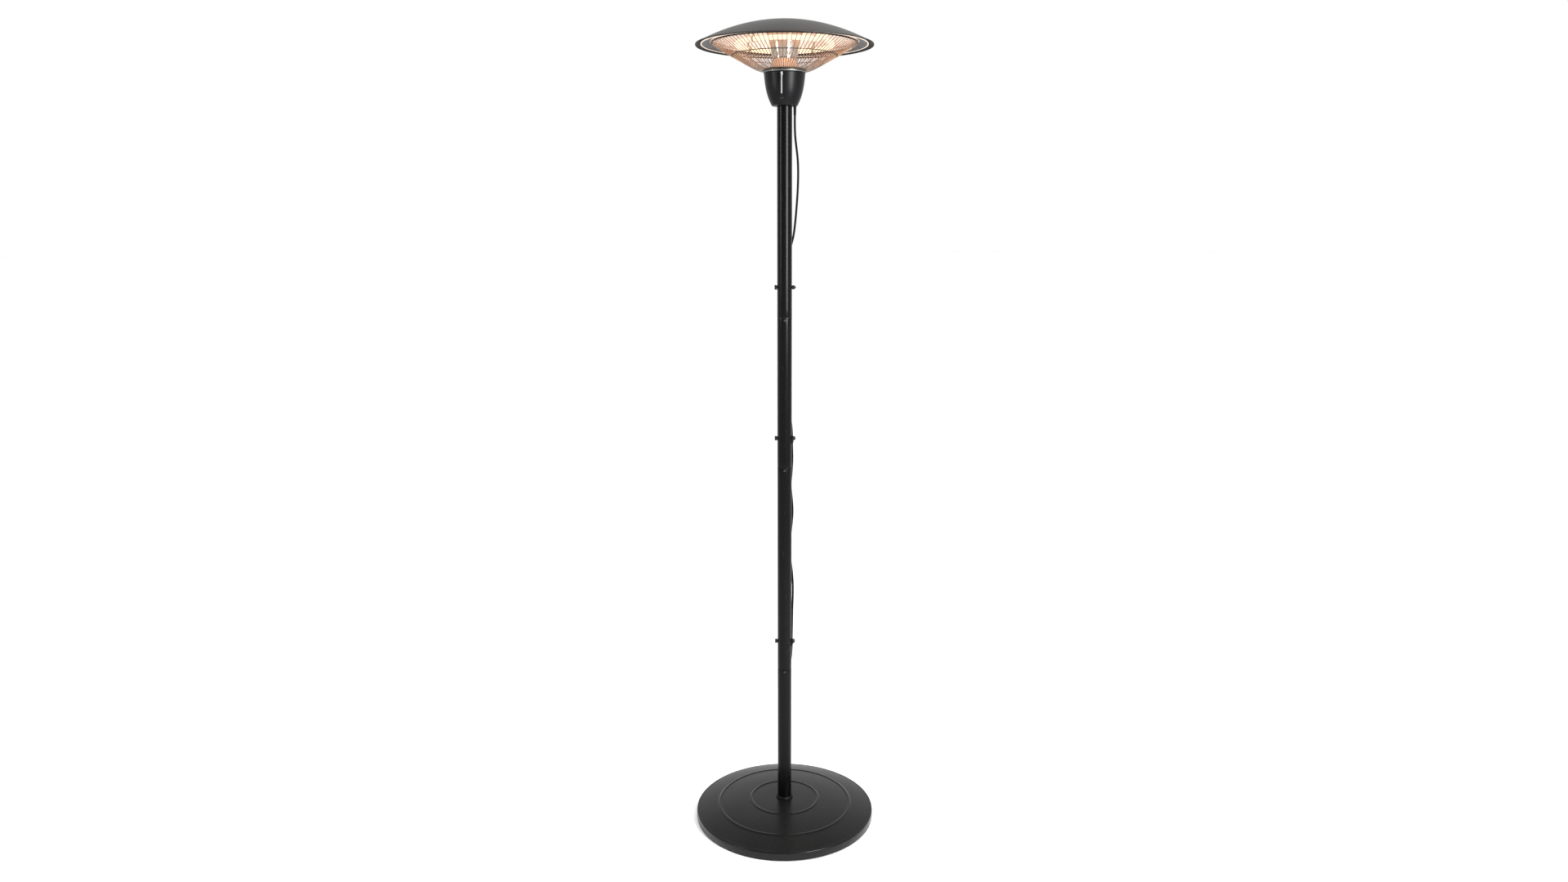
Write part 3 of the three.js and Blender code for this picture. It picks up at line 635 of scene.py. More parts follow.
# ---- Housing ----
# A satin black cup, spun from sheet and textured, hangs from the round flange plate and hides the wiring.
# The spigot inside it slides into the pole; a rubber sleeve guards the cord where it comes out.
def smooth_line(points, per_span=8):
    """Centripetal Catmull-Rom curve: between two points a cubic whose end slopes come from the spans either
    side, each weighted by the square root of its length."""
    p = np.asarray(points, float)
    p = np.concatenate([[2 * p[0] - p[1]], p, [2 * p[-1] - p[-2]]])
    span = np.sqrt(np.linalg.norm(np.diff(p, axis=0), axis=1))[:, None]
    before, here, after = span[:-2], span[1:-1], span[2:]
    a, b, c, d = p[:-3], p[1:-2], p[2:-1], p[3:]
    first = ((b - a) / before - (c - a) / (before + here) + (c - b) / here) * here
    second = ((c - b) / here - (d - b) / (here + after) + (d - c) / after) * here
    t = np.linspace(0, 1, per_span, endpoint=False)[None, :, None]
    b, c, first, second = b[:, None], c[:, None], first[:, None], second[:, None]
    line = (2 * t**3 - 3 * t**2 + 1) * b + (t**3 - 2 * t**2 + t) * first
    line = line + (3 * t**2 - 2 * t**3) * c + (t**3 - t**2) * second
    return np.concatenate([line.reshape(-1, p.shape[1]), p[-2:-1]])


cup_low, cup_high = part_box("housing_cup")
cup_outside = smooth_line([
    [0.0516, cup_high.z - 0.0018],
    [0.0506, cup_high.z - 0.0120],
    [0.0486, cup_high.z - 0.0280],
    [0.0450, cup_high.z - 0.0460],
    [0.0398, cup_high.z - 0.0620],
    [0.0344, cup_high.z - 0.0740],
    [0.0326, cup_low.z + 0.0016],
])
CUP_WALL = 0.002
cup_profile = np.concatenate([
    [[0.0500, cup_high.z], [0.0510, cup_high.z - 0.0003]],
    cup_outside,
    [[0.0320, cup_low.z + 0.0005], [0.0308, cup_low.z]],
    [[POLE_R + 0.0010, cup_low.z], [POLE_R + 0.0004, cup_low.z + 0.0006]],
    [[POLE_R + 0.0004, cup_low.z + 0.0024], [0.0306, cup_low.z + 0.0024]],
    (cup_outside - [CUP_WALL, 0])[-10::-1],
])


def textured_cup():
    """Stoved texture paint on spun sheet: tight 0.6 mm wrinkle, faint spinning rings and a soft sheen."""
    paint = Finish("housing_texture_black")
    wrinkle = paint.noise(1700, 3)
    rings = paint.noise((3, 3, 420))
    patches = paint.noise(22, 3)
    rubs = paint.noise((700, 700, 120)).between(0.70, 0.78)
    shade = paint.mix(patches, (0.0030, 0.0030, 0.0036, 1), (0.0050, 0.0050, 0.0058, 1))
    return paint.surface({
        "Base Color": paint.mix(rubs * 0.06, shade, grey(0.25)),
        "Roughness": 0.27 + wrinkle * 0.1 + patches * 0.06,
        "Specular IOR Level": 0.13,
        "Normal": paint.bump(wrinkle * 0.5 + rings * 0.5, 0.00007),
    })


add_piece("housing_shell", [lathe(cup_profile, 160)], textured_cup(), ["housing_cup"])

flange_low, flange_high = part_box("flange_plate")
FLANGE_HOLE_R = 0.0044
flange_outline = [
    [FLANGE_HOLE_R, flange_low.z], [flange_high.x, flange_low.z],
    [flange_high.x, flange_high.z], [FLANGE_HOLE_R, flange_high.z],
]
FLANGE_STEEL = zinc_plate("flange_satin_steel", (0.22, 0.22, 0.215), 0.34)
flange_mesh = lathe(rounded(flange_outline, 0.0009), 160)
add_piece("flange_disc", [flange_mesh], FLANGE_STEEL, ["flange_plate"])
give(ZINC, "head_spigot")

relief_low, relief_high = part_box("cord_relief")
CORD_X = (relief_low.x + relief_high.x) / 2
RELIEF_GROOVE_PITCH = 0.004
CORD_RUBBER = rubber("cord_black_rubber", 0.004, 2200.0, 0.15)


def relief_mesh():
    """Tapered sleeve with ring grooves: the radius grows evenly with height, less a narrow cosine groove
    every 4 mm below the housing."""
    z = np.linspace(relief_low.z, relief_high.z, 90)
    part = (z - relief_low.z) / (relief_high.z - relief_low.z)
    groove = np.clip(np.cos((z - relief_low.z) / RELIEF_GROOVE_PITCH * 2 * np.pi), 0.35, 1) - 0.35
    r = 0.0033 + 0.0006 * np.clip(part * 1.2, 0, 1) - 0.0006 * groove * (part < 0.7)
    profile = np.concatenate([[[0, z[0]]], np.stack([r, z], 1), [[0, z[-1]]]])
    return lathe(profile, 32, (CORD_X, 0.0), closed=False)


add_piece("relief_sleeve", [relief_mesh()], CORD_RUBBER, ["cord_relief"])


# ---- Electrics in the housing ----
# The pull switch sits behind its guide, the ceramic terminal block at the back, and a tilt switch and a
# thermal cut-out beside them. All are screwed or pressed to the flange plate.
def glazed_ceramic():
    """Steatite: warm white, faint mottling, tiny dark specks and a thin dull glaze."""
    fired = Finish("steatite_ceramic")
    mottle = fired.noise(180, 3)
    specks = fired.noise(2600, 2).between(0.72, 0.78)
    shade = fired.mix(mottle, grey(0.62, 0.03), grey(0.496, 0.06))
    return fired.surface({
        "Base Color": fired.mix(specks * 0.6, shade, grey(0.08, 0.1)),
        "Roughness": 0.42 + mottle * 0.2,
        "Normal": fired.bump(mottle, 0.00004),
    })


CERAMIC = glazed_ceramic()
give(moulded("switch_black_plastic", 0.012, 0.45), "pull_switch", "tilt_switch")
give(CERAMIC, "terminal_block", "thermal_cutout")


# ---- Pull switch ----
# A short chromed elbow guides the cord out of the housing. The cord is braided nylon, and a black knob
# crimped to its end is pulled down 8 mm to change the setting.
guide_low, guide_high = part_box("pull_guide")
PULL_X = (guide_low.x + guide_high.x) / 2
PULL_Y = -0.057
BARREL_R = (guide_high.x - guide_low.x) / 2


def chromed(name, tint):
    """Plated brass: near mirror, faint water marks and hairline scratches."""
    plate = Finish(name)
    marks = plate.noise(300, 3)
    hairs = plate.noise((2600, 2600, 160)).between(0.66, 0.72)
    return plate.surface({
        "Base Color": plate.mix(marks, (*tint, 1.0), (*(c * 0.85 for c in tint), 1.0)),
        "Metallic": 1.0,
        "Roughness": 0.07 + marks * 0.08 + hairs * 0.18,
        "Normal": plate.bump(hairs, 0.00001),
    })


def guide_meshes():
    """Barrel: flared tube with a rolled lip at both ends. Neck: a stepped rod along Y with a lock ring."""
    bore = 0.0021
    low, high = guide_low.z, guide_high.z
    barrel = [
        [bore, low + 0.0006], [bore + 0.0004, low], [BARREL_R - 0.0004, low], [BARREL_R, low + 0.0006],
        [BARREL_R, low + 0.0012], [BARREL_R - 0.0006, low + 0.0020], [BARREL_R - 0.0006, high - 0.0020],
        [BARREL_R, high - 0.0012], [BARREL_R, high - 0.0005], [BARREL_R - 0.0005, high],
        [bore + 0.0004, high], [bore, high - 0.0006],
    ]
    neck = np.array([
        [PULL_Y + 0.0021, 0], [PULL_Y + 0.0021, 0.0024], [-0.0530, 0.0024], [-0.0528, 0.0030],
        [-0.0515, 0.0030], [-0.0513, 0.0024], [-0.0412, 0.0024], [-0.0410, 0.0022], [-0.0410, 0],
    ])
    neck = turned(neck[:, 0], neck[:, 1], 32, "y", (PULL_X, (low + high) / 2))
    return [lathe(rounded(barrel, 0.0003, 3), 48, (PULL_X, PULL_Y)), grid_mesh("neck", neck)]


add_piece("pull_elbow", guide_meshes(), chromed("black_nickel", (0.30, 0.30, 0.31)), ["pull_guide"])


def swept(line, radius, sides, reference, shape=None):
    """Tube: at each point of the line a ring, radius times (cos a, sin a) along two directions square to the
    line, the first of them the reference direction less its part along the line. Ends close to a point."""
    along = unit(np.gradient(line, axis=0))
    across = unit(reference - (reference * along).sum(1, keepdims=True) * along)
    square = np.cross(along, across)
    distance = np.concatenate([[0], np.cumsum(np.linalg.norm(np.diff(line, axis=0), axis=1))])
    angle = full_turn(sides)
    size = np.full((len(line), sides), radius)
    if shape is not None:
        size = size * shape(distance[:, None], angle)
    ring = across[:, None] * np.cos(angle)[:, None] + square[:, None] * np.sin(angle)[:, None]
    grid = capped(line[:, None] + size[..., None] * ring)
    return grid_mesh("swept", grid, scale_v=np.concatenate([distance[:1], distance, distance[-1:]]))


pull_low, pull_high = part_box("pull_cord")
PULL_R = (pull_high.x - pull_low.x) / 2
BRAID_PITCH = 0.0052


def braid(distance, angle):
    """Twelve strands laid both ways: the larger of two helical waves, one of each hand."""
    twist = 2 * np.pi * distance / BRAID_PITCH / 3
    left = np.cos(6 * (angle + twist))
    right = np.cos(6 * (angle - twist) + np.pi)
    return 0.955 + 0.045 * np.maximum(left, right)


def braided_nylon():
    """Bleached nylon braid: shadowed between strands, slight greying towards the knob, silky sheen."""
    weave = Finish("braided_nylon")
    fibres = weave.noise((5200, 5200, 900))
    soiling = weave.noise(120, 3)
    shade = weave.mix(soiling, (0.34, 0.335, 0.325, 1), (0.25, 0.245, 0.235, 1))
    return weave.surface({
        "Base Color": weave.mix(fibres.between(0.35, 0.55), grey(0.20, 0.03), shade),
        "Roughness": 0.55 + fibres * 0.2,
        "Sheen Weight": 0.25,
        "Normal": weave.bump(fibres, 0.00008),
    })


PULL_STEPS = 260
pull_line = np.full((PULL_STEPS, 3), (PULL_X, PULL_Y, 0.0))
pull_line[:, 2] = np.linspace(pull_high.z, pull_low.z, PULL_STEPS)
pull_mesh = swept(pull_line, PULL_R, 36, (1.0, 0.0, 0.0), shape=braid)
NYLON = braided_nylon()
PULL_CORD = add_piece("pull_string", [pull_mesh], NYLON, ["pull_cord"], "pull_cord")

knob_low, knob_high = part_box("pull_knob")
KNOB_R = (knob_high.x - knob_low.x) / 2
knob_outline = [
    [0, knob_high.z], [0.0020, knob_high.z], [0.0026, knob_high.z - 0.0005], [0.0030, knob_high.z - 0.0030],
    [0.0027, knob_high.z - 0.0034], [0.0034, knob_high.z - 0.0050], [KNOB_R, knob_high.z - 0.0098],
    [KNOB_R, knob_low.z + 0.0012], [0.0036, knob_low.z], [0, knob_low.z],
]
knob_mesh = lathe(rounded(knob_outline, 0.0006, 4, closed=False), 40, (PULL_X, PULL_Y), closed=False)
KNOB_PLASTIC = moulded("knob_black_plastic", 0.004, 0.36, specular=0.2)
KNOB = add_piece("pull_toggle", [knob_mesh], KNOB_PLASTIC, ["pull_knob"], "pull_cord")


# ---- Reflector ----
# A wide dish and a waisted column, both spun from mirror-polished aluminium sheet. The dish ends in a
# rolled bright edge inside the hood; the column stands on the flange and meets the dish at its middle.
DISH_WALL = 0.001
DISH_UNDERSIDE = [[0.046, 2.096], [0.090, 2.095], [0.130, 2.088], [0.165, 2.0795], [0.202, 2.0685]]
DISH_ROLL = (0.2059, 2.0681)


def dish_profile():
    """Underside along the smooth curve through its five driving points, three quarters of a turn round the
    rolled wire edge, and back along the top."""
    driving = smooth_line(DISH_UNDERSIDE, 12)
    r = np.linspace(driving[0, 0], 0.2030, 60)
    under = np.stack([r, np.interp(r, driving[:, 0], driving[:, 1])], 1)
    turn = np.linspace(-0.75 * np.pi, 0.75 * np.pi, 18)
    roll = DISH_ROLL + np.stack([0.00155 * np.cos(turn), 0.00150 * np.sin(turn)], 1)
    top = (under + [0, DISH_WALL])[::-1]
    return np.concatenate([under, roll, top])


def spun_aluminium(name, ring_scale, tint, painted_lamp_glow, band_from=1.0, bare=(0.0, 3.0)):
    """Polished aluminium with a warm tint: faint spinning rings, a low hammered ripple left by forming,
    smoky straw and copper heat tint in broad patches, and fine dust marks. From the radius band_from out
    to the bright rolled edge it is near black, rougher and not metallic. Outside the heights in bare the
    copper tint is even and strong. The lamp's light that the sheet would scatter is painted on as a weak
    warm glow, an emission of its own that stops at the dark band."""
    sheet = Finish(name)
    rings = sheet.noise((0, 0, ring_scale))
    ripple = sheet.noise(26, 2)
    height = sheet.part(sheet.at, "Z")
    tinted = 1 - height.between(bare[0] - 0.005, bare[0]) * (1 - height.between(bare[1], bare[1] + 0.005))
    patches = sheet.noise(7, 2).between(0.42, 0.75)
    heat = patches.maths("MAXIMUM", patches, tinted)
    smoke = sheet.noise(60, 4).between(0.4, 0.8)
    shade = sheet.mix(heat * 0.85, (*tint, 1), (0.64, 0.41, 0.30, 1))
    shade = sheet.mix(smoke * 0.12, shade, grey(0.35, 0.1))
    out = sheet.from_axis()
    band = out.between(band_from, band_from + 0.002) * (1 - out.between(0.2040, 0.2046))
    return sheet.surface({
        "Base Color": sheet.mix(band, shade, (0.012, 0.008, 0.006, 1)),
        "Metallic": 0.8 - band * 0.8,
        # Painted glow: this emission stands in for the lamp's light scattered by the sheet. There is none on
        # the dark band.
        "Emission Color": sheet.mix(band, (1.0, 0.68, 0.50, 1), (0, 0, 0, 1)),
        "Emission Strength": painted_lamp_glow,
        "Roughness": 0.16 + smoke * 0.10 + heat * 0.05 + band * 0.25,
        "Normal": sheet.bump(rings * 0.04 + ripple, 0.0009),
    })


# The painted lamp glow has strength 0.35 on the dish and 0.03 on the column below.
MIRROR = spun_aluminium("reflector_aluminium", 1400, (0.95, 0.82, 0.70), 0.35, band_from=0.183)
add_piece("reflector_bowl", [lathe(dish_profile(), 192)], MIRROR, ["reflector_dish"])

column_low, column_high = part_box("reflector_column")
column_outside = smooth_line([
    [0.0470, column_low.z],
    [0.0410, column_low.z + 0.0040],
    [0.0350, column_low.z + 0.0130],
    [0.0302, column_low.z + 0.0300],
    [0.0334, column_low.z + 0.0460],
    [0.0375, column_low.z + 0.0660],
    [0.0415, column_low.z + 0.0800],
    [0.0450, column_high.z],
])
column_profile = np.concatenate([column_outside, (column_outside - [0.0012, 0])[::-1]])
COLUMN_MIRROR = spun_aluminium("column_aluminium", 560, (0.46, 0.42, 0.37), 0.03, bare=(2.035, 2.059))
column_mesh = lathe(column_profile)
add_piece("reflector_cone", [column_mesh], COLUMN_MIRROR, ["reflector_column"])


# ---- Lamp ----
# A quartz tube bent into a ring with a glowing coil inside, its two ends turned up through the dish into
# ceramic holders. Sleeved leads run from the holders down the column; sprung steel clips steady the ring.
LAMP_RING_R = 0.118
LAMP_Z = 2.068
LAMP_TUBE_R = 0.0055
LAMP_GAP = math.radians(-39)
LAMP_GAP_HALF = math.radians(6)
LAMP_TURN_UP = math.radians(5)
LAMP_STEPS = 220


def lamp_line():
    """Circle at the lamp's height from one side of the gap round to the other, each end turned up by a
    quarter of a circle in the plane of the ring's edge, then straight up."""
    start = LAMP_GAP + LAMP_GAP_HALF
    stop = LAMP_GAP - LAMP_GAP_HALF + 2 * math.pi
    flat = np.zeros((LAMP_STEPS, 2))
    flat[:, 0] = np.linspace(start + LAMP_TURN_UP, stop - LAMP_TURN_UP, LAMP_STEPS)
    quarter = np.linspace(0, np.pi / 2, 9)[:-1]
    inward = np.concatenate([[0, 0], LAMP_TURN_UP * (1 - np.cos(quarter))])
    rise = np.concatenate([[0.020, 0.015], LAMP_RING_R * LAMP_TURN_UP * (1 - np.sin(quarter))])
    first = np.stack([start + inward, rise], 1)
    last = np.stack([stop - inward, rise], 1)[::-1]
    turn, up = np.concatenate([first, flat, last]).T
    return np.stack([LAMP_RING_R * np.cos(turn), LAMP_RING_R * np.sin(turn), LAMP_Z + up], 1)


def glowing_quartz():
    """Quartz lit by the coil inside it: the coil's turns show every 3 mm as brighter bands, and the colour
    runs from pale yellow at a turn to amber between turns."""
    lit = Finish("glowing_quartz")
    along = lit.part(lit.node("ShaderNodeUVMap", {"uv_map": "UVMap"}, {}), "Y")
    turns = along * (2 * math.pi / 0.003)
    bands = turns.maths("SINE", turns) * 0.5 + 0.5
    uneven = lit.noise(35, 2)
    glow = lit.mix(bands * 0.6 + uneven * 0.4, (1.0, 0.68, 0.40, 1), (1.0, 0.82, 0.54, 1))
    return lit.surface({
        "Base Color": (0.10, 0.08, 0.06, 1),
        "Roughness": 0.12,
        "Emission Color": glow,
        "Emission Strength": 1.6,
    })


lamp_path = lamp_line()
radial = lamp_path * [1, 1, 0] / LAMP_RING_R
lamp_mesh = swept(lamp_path, LAMP_TUBE_R, 20, radial)
add_piece("lamp_ring", [lamp_mesh], glowing_quartz(), ["lamp_tube"])


def holder_mesh(node):
    """Ceramic cap: a sleeve with a groove round its middle and rounded rims."""
    low, high, middle, half = span(node)
    r = half.x
    bore = LAMP_TUBE_R + 0.0012
    outline = [
        [bore, low.z], [r, low.z], [r, low.z + 0.0058], [r - 0.0010, low.z + 0.0064],
        [r - 0.0010, low.z + 0.0092], [r, low.z + 0.0098], [r, high.z], [bore, high.z],
    ]
    return lathe(rounded(outline, 0.0007), 48, middle[:2])


HOLDERS = ["lamp_holder_1", "lamp_holder_2"]
add_piece("lamp_end_caps", [holder_mesh(node) for node in HOLDERS], CERAMIC, HOLDERS)


def woven_sleeve():
    """Red-brown varnished glass-fibre sleeve with a fine diagonal weave, darkened by heat."""
    sleeve = Finish("woven_glass_sleeve")
    yarn = sleeve.noise((2600, 2600, 2600))
    burnt = sleeve.noise(60, 3)
    return sleeve.surface({
        "Base Color": sleeve.mix(burnt, (0.24, 0.035, 0.02, 1), (0.11, 0.03, 0.02, 1)),
        "Roughness": 0.6 + yarn * 0.2,
        "Normal": sleeve.bump(yarn, 0.0001),
    })


give(woven_sleeve(), "lamp_lead_1", "lamp_lead_2")
CLIP_STEEL = zinc_plate("lamp_clip_steel", (0.50, 0.42, 0.34), 0.25)


def lamp_clip_mesh(number):
    """Sprung strip with a C mouth: a line round four fifths of the tube and out to a lip at each end, carried
    along the ring's tangent, and a straight stem above it, both then turned to their place on the ring."""
    seat_r = LAMP_TUBE_R + 0.0010
    around = np.linspace(np.radians(-60), np.radians(240), 34)
    ring = seat_r * np.stack([np.cos(around), np.sin(around)], 1)
    mouth = np.concatenate([ring[:1] + [[0.0012, -0.0012]], ring, ring[-1:] + [[-0.0012, -0.0012]]])
    stem = np.array([[0, seat_r - 0.0003], [0, 0.0200]])
    angle = LAMP_GAP + math.radians(90 * number)
    out = np.array([math.cos(angle), math.sin(angle), 0])
    tangent = np.array([-math.sin(angle), math.cos(angle), 0])
    meshes = []
    for line, thickness in ((mouth, 0.0008), (stem, 0.0016)):
        corner = np.array([[-0.5, -0.5], [0.5, -0.5], [0.5, 0.5], [-0.5, 0.5]]) * [thickness, 0.0060]
        across = line[:, None] - beside(line)[:, None] * corner[None, :, :1]
        grid = out * (LAMP_RING_R + across[..., :1]) + tangent * corner[None, :, 1:]
        grid[..., 2] = LAMP_Z + across[..., 1]
        meshes.append(grid_mesh("clip", capped(grid)))
    return meshes


lamp_clips = [mesh for number in (1, 2, 3) for mesh in lamp_clip_mesh(number)]
add_piece("lamp_clip_set", lamp_clips, CLIP_STEEL, [f"lamp_clip_{i}" for i in (1, 2, 3)], crease=30)


# ---- Hood ----
# A shallow cap spun from aluminium sheet, painted dark grey, with a small turned-in rim. A rod from the
# flange and a button-head screw at the top hold it, and three spacers keep it off the reflector.
hood_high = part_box("hood_shell")[1]
HOOD_R = hood_high.x
HOOD_RIM_Z = 2.066
HOOD_RISE = hood_high.z - HOOD_RIM_Z
HOOD_WALL = 0.0012
HOOD_BEAD_R = 0.0017


def hood_profile():
    """Paraboloid from the screw hole to the rim, half a turn round the bead at the rim, and back inside."""
    r = np.linspace(0.0032, HOOD_R - 0.0022, 64)
    top = np.stack([r, HOOD_RIM_Z + HOOD_RISE * (1 - (r / HOOD_R) ** 2)], 1)
    turn = np.linspace(np.radians(55), np.radians(-140), 12)
    bead = np.stack([np.cos(turn) - 1, np.sin(turn)], 1) * HOOD_BEAD_R + [HOOD_R, HOOD_RIM_Z + 0.0002]
    inside = (top - [0, HOOD_WALL])[::-1]
    return np.concatenate([top, bead, inside])


def hood_paint():
    """Dark grey stoved enamel with fine aluminium flake: satin, a little orange peel and dust towards the
    top.
    Underneath, where the surface faces down, it has painted shade: near black, and there it is rougher and
    not metallic."""
    paint = Finish("hood_grey_enamel")
    peel = paint.noise(420)
    flake = paint.cells(2800.0)
    patches = paint.noise(8, 3)
    dust = paint.noise(240, 4).between(0.55, 0.75) * paint.noise(12, 2).between(0.4, 0.8)
    shade = paint.mix(flake * 0.5 + patches * 0.5, (0.032, 0.030, 0.028, 1), (0.053, 0.050, 0.047, 1))
    # Painted shade: the colour goes near black where the surface faces down.
    under = 1 - paint.facing_up().between(-0.30, 0.05)
    shade = paint.mix(under, shade, (0.008, 0.007, 0.006, 1))
    return paint.surface({
        "Base Color": paint.mix(dust * 0.08, shade, (0.34, 0.33, 0.31, 1)),
        "Metallic": 0.10 - under * 0.10,
        "Roughness": 0.34 + patches * 0.08 + flake * 0.06 + under * 0.35,
        "Specular IOR Level": 0.36,
        "Normal": paint.bump(peel, 0.00010),
    })


add_piece("hood_cap", [lathe(hood_profile(), 256)], hood_paint(), ["hood_shell"])
give(ZINC, "tie_rod", "hood_standoff_1", "hood_standoff_2", "hood_standoff_3")

screw_low, screw_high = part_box("hood_screw")
SCREW_R = screw_high.x
seat_z = screw_high.z - 0.0023
screw_outline = [
    [0, screw_high.z - 0.0014], [0.0020, screw_high.z - 0.0014], [0.0022, screw_high.z],
    [0.0046, screw_high.z - 0.0002], [0.0066, screw_high.z - 0.0008], [SCREW_R, seat_z + 0.0004],
    [SCREW_R - 0.0003, seat_z], [0.0024, seat_z], [0.0024, screw_low.z], [0, screw_low.z],
]
screw_mesh = lathe(rounded(screw_outline, 0.0003, 3, closed=False), 48, closed=False)
add_piece("hood_button_screw", [screw_mesh], BLACK_OXIDE, ["hood_screw"])


# ---- Guard ----
# Ninety-six steel wires run as a cone from a pressed hub band out to the rim, spot-welded to a hoop half-way
# and a heavier ring at the edge, then chromed. Heat has straw-tinted them towards the lamp.
WIRE_COUNT = 96
WIRE_R = 0.0010
hub_low, hub_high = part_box("wire_guard")
HUB_R = 0.056
HOOP_R = 0.1305
RING_R = 0.181
wire_points = smooth_line([
    [HUB_R - 0.0030, hub_low.z + 0.0022],
    [0.0660, hub_low.z + 0.0036],
    [0.1240, 2.0380],
    [RING_R - 0.0010, 2.0690],
], 6)


def wire_bundle():
    """One wire's tube, hexagonal in section, repeated by turning it through equal steps about the axis."""
    angle = full_turn(6)
    section = wire_points[:, None] - beside(wire_points)[:, None] * WIRE_R * np.cos(angle)[:, None]
    r, z = section[..., 0], section[..., 1]
    side = WIRE_R * np.sin(angle)
    meshes = []
    for turn in (np.arange(WIRE_COUNT) + 0.5) * 2 * np.pi / WIRE_COUNT:
        x = r * math.cos(turn) - side * math.sin(turn)
        y = r * math.sin(turn) + side * math.cos(turn)
        meshes.append(grid_mesh("wire", capped(np.stack([x, y, z], 2))))
    return meshes


def ring_mesh(radius, z, wire_r):
    """Torus: a circle of radius wire_r turned about the axis at that radius."""
    angle = full_turn(10)
    return lathe(np.stack([radius + wire_r * np.cos(angle), z + wire_r * np.sin(angle)], 1), 192)


def heated_wire():
    """Chromed wire: bright drawn lines, straw to copper-brown heat tint that is strongest under the lamp, and
    the hoop and the outer ring nearly black."""
    wire = Finish("chromed_guard_wire")
    drawn = wire.noise((900, 900, 900))
    out = wire.from_axis()
    under_lamp = out.between(0.06, 0.11) * (1 - out.between(0.14, 0.19))
    tint = under_lamp * (0.55 + wire.noise(30, 2) * 0.6)
    shade = wire.mix(tint, (0.36, 0.28, 0.23, 1), (0.34, 0.19, 0.12, 1))
    hoop = out.between(0.1285, 0.1290) * (1 - out.between(0.1320, 0.1325))
    shade = wire.mix(out.between(0.1785, 0.1790) + hoop * 0.8, shade, (0.020, 0.013, 0.009, 1))
    return wire.surface({
        "Base Color": shade,
        "Metallic": 0.95,
        "Roughness": 0.24 + drawn * 0.16,
        "Normal": wire.bump(drawn, 0.00002),
    })


GUARD_METAL = heated_wire()
hoop_z = float(np.interp(HOOP_R, wire_points[:, 0], wire_points[:, 1]))
band_outline = [
    [HUB_R - 0.0050, hub_low.z], [HUB_R - 0.0004, hub_low.z], [HUB_R, hub_low.z + 0.0006],
    [HUB_R, hub_low.z + 0.0044], [HUB_R - 0.0004, hub_low.z + 0.0050], [HUB_R - 0.0050, hub_low.z + 0.0050],
]
guard_rings = [ring_mesh(HOOP_R, hoop_z, 0.0010), ring_mesh(RING_R, hub_high.z - 0.0020, 0.0020)]
add_piece("guard_wires", wire_bundle() + guard_rings, GUARD_METAL, ["wire_guard"], crease=60)
BAND_PAINT = powder_coat("hub_band_dark", (0.045, 0.043, 0.034, 1.0), 0.34, specular=0.5, metallic=0.5)
add_piece("guard_hub_band", [lathe(rounded(band_outline, 0.0005), 160)], BAND_PAINT, [])


# ---- Mains cord and plug ----
# Rubber-sheathed three-core cord, 5.5 mm thick. It bows out beside the top of the pole, passes behind it,
# is held by two clips with slack between them, and comes down behind the pole to a moulded plug on the base.
CORD_R = 0.00275
plug_low, plug_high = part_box("mains_plug")
PLUG_Z = (plug_low.z + plug_high.z) / 2
CORD_ROUTE = [
    [CORD_X, 0.0000, relief_low.z - 0.0003],
    [0.0255, 0.0003, 1.880], [0.0266, 0.0012, 1.850], [0.0335, 0.0044, 1.786], [0.0334, 0.0074, 1.722],
    [0.0254, 0.0142, 1.622], [0.0212, 0.0176, 1.597], [0.0140, 0.0210, 1.571], [0.0070, 0.0228, 1.536],
    [0.0030, 0.0235, 1.490], [0.0020, 0.0235, 1.410], [0.0030, 0.0235, 1.310], [0.0060, 0.0230, 1.220],
    [0.0120, 0.0206, 1.150], [0.0180, 0.0154, 1.108], [0.0198, 0.0125, 1.079], [0.0198, 0.0125, 1.058],
    [0.0206, 0.0120, 1.020], [0.0184, 0.0150, 0.980], [0.0162, 0.0170, 0.948], [0.0214, 0.0112, 0.880],
    [0.0146, 0.0182, 0.790], [0.0154, 0.0176, 0.745], [0.0204, 0.0126, 0.704], [0.0226, 0.0098, 0.662],
    [0.0212, 0.0116, 0.600], [0.0198, 0.0125, 0.514], [0.0198, 0.0125, 0.493], [0.0166, 0.0170, 0.452],
    [0.0080, 0.0224, 0.396], [0.0015, 0.0236, 0.320], [0.0000, 0.0226, 0.220], [0.0000, 0.0222, 0.130],
]
BEND_END_Y = plug_low.y - 0.005
BEND_R = BEND_END_Y - CORD_ROUTE[-1][1]
bend_turn = np.linspace(0, np.pi / 2, 5)
bend = BEND_R * np.stack([np.zeros(5), -np.cos(bend_turn), 1 - np.sin(bend_turn)], 1)
bend += [0, BEND_END_Y, PLUG_Z]
into_plug = [[0, plug_low.y - 0.002, PLUG_Z], [0, plug_low.y - 0.0003, PLUG_Z]]
cord_line = smooth_line(np.concatenate([CORD_ROUTE, bend, into_plug]), 10)
cord_mesh = swept(cord_line, CORD_R, 20, (1.0, 0.0, 0.0))
CORD = add_piece("mains_lead", [cord_mesh], CORD_RUBBER, ["mains_cord"])


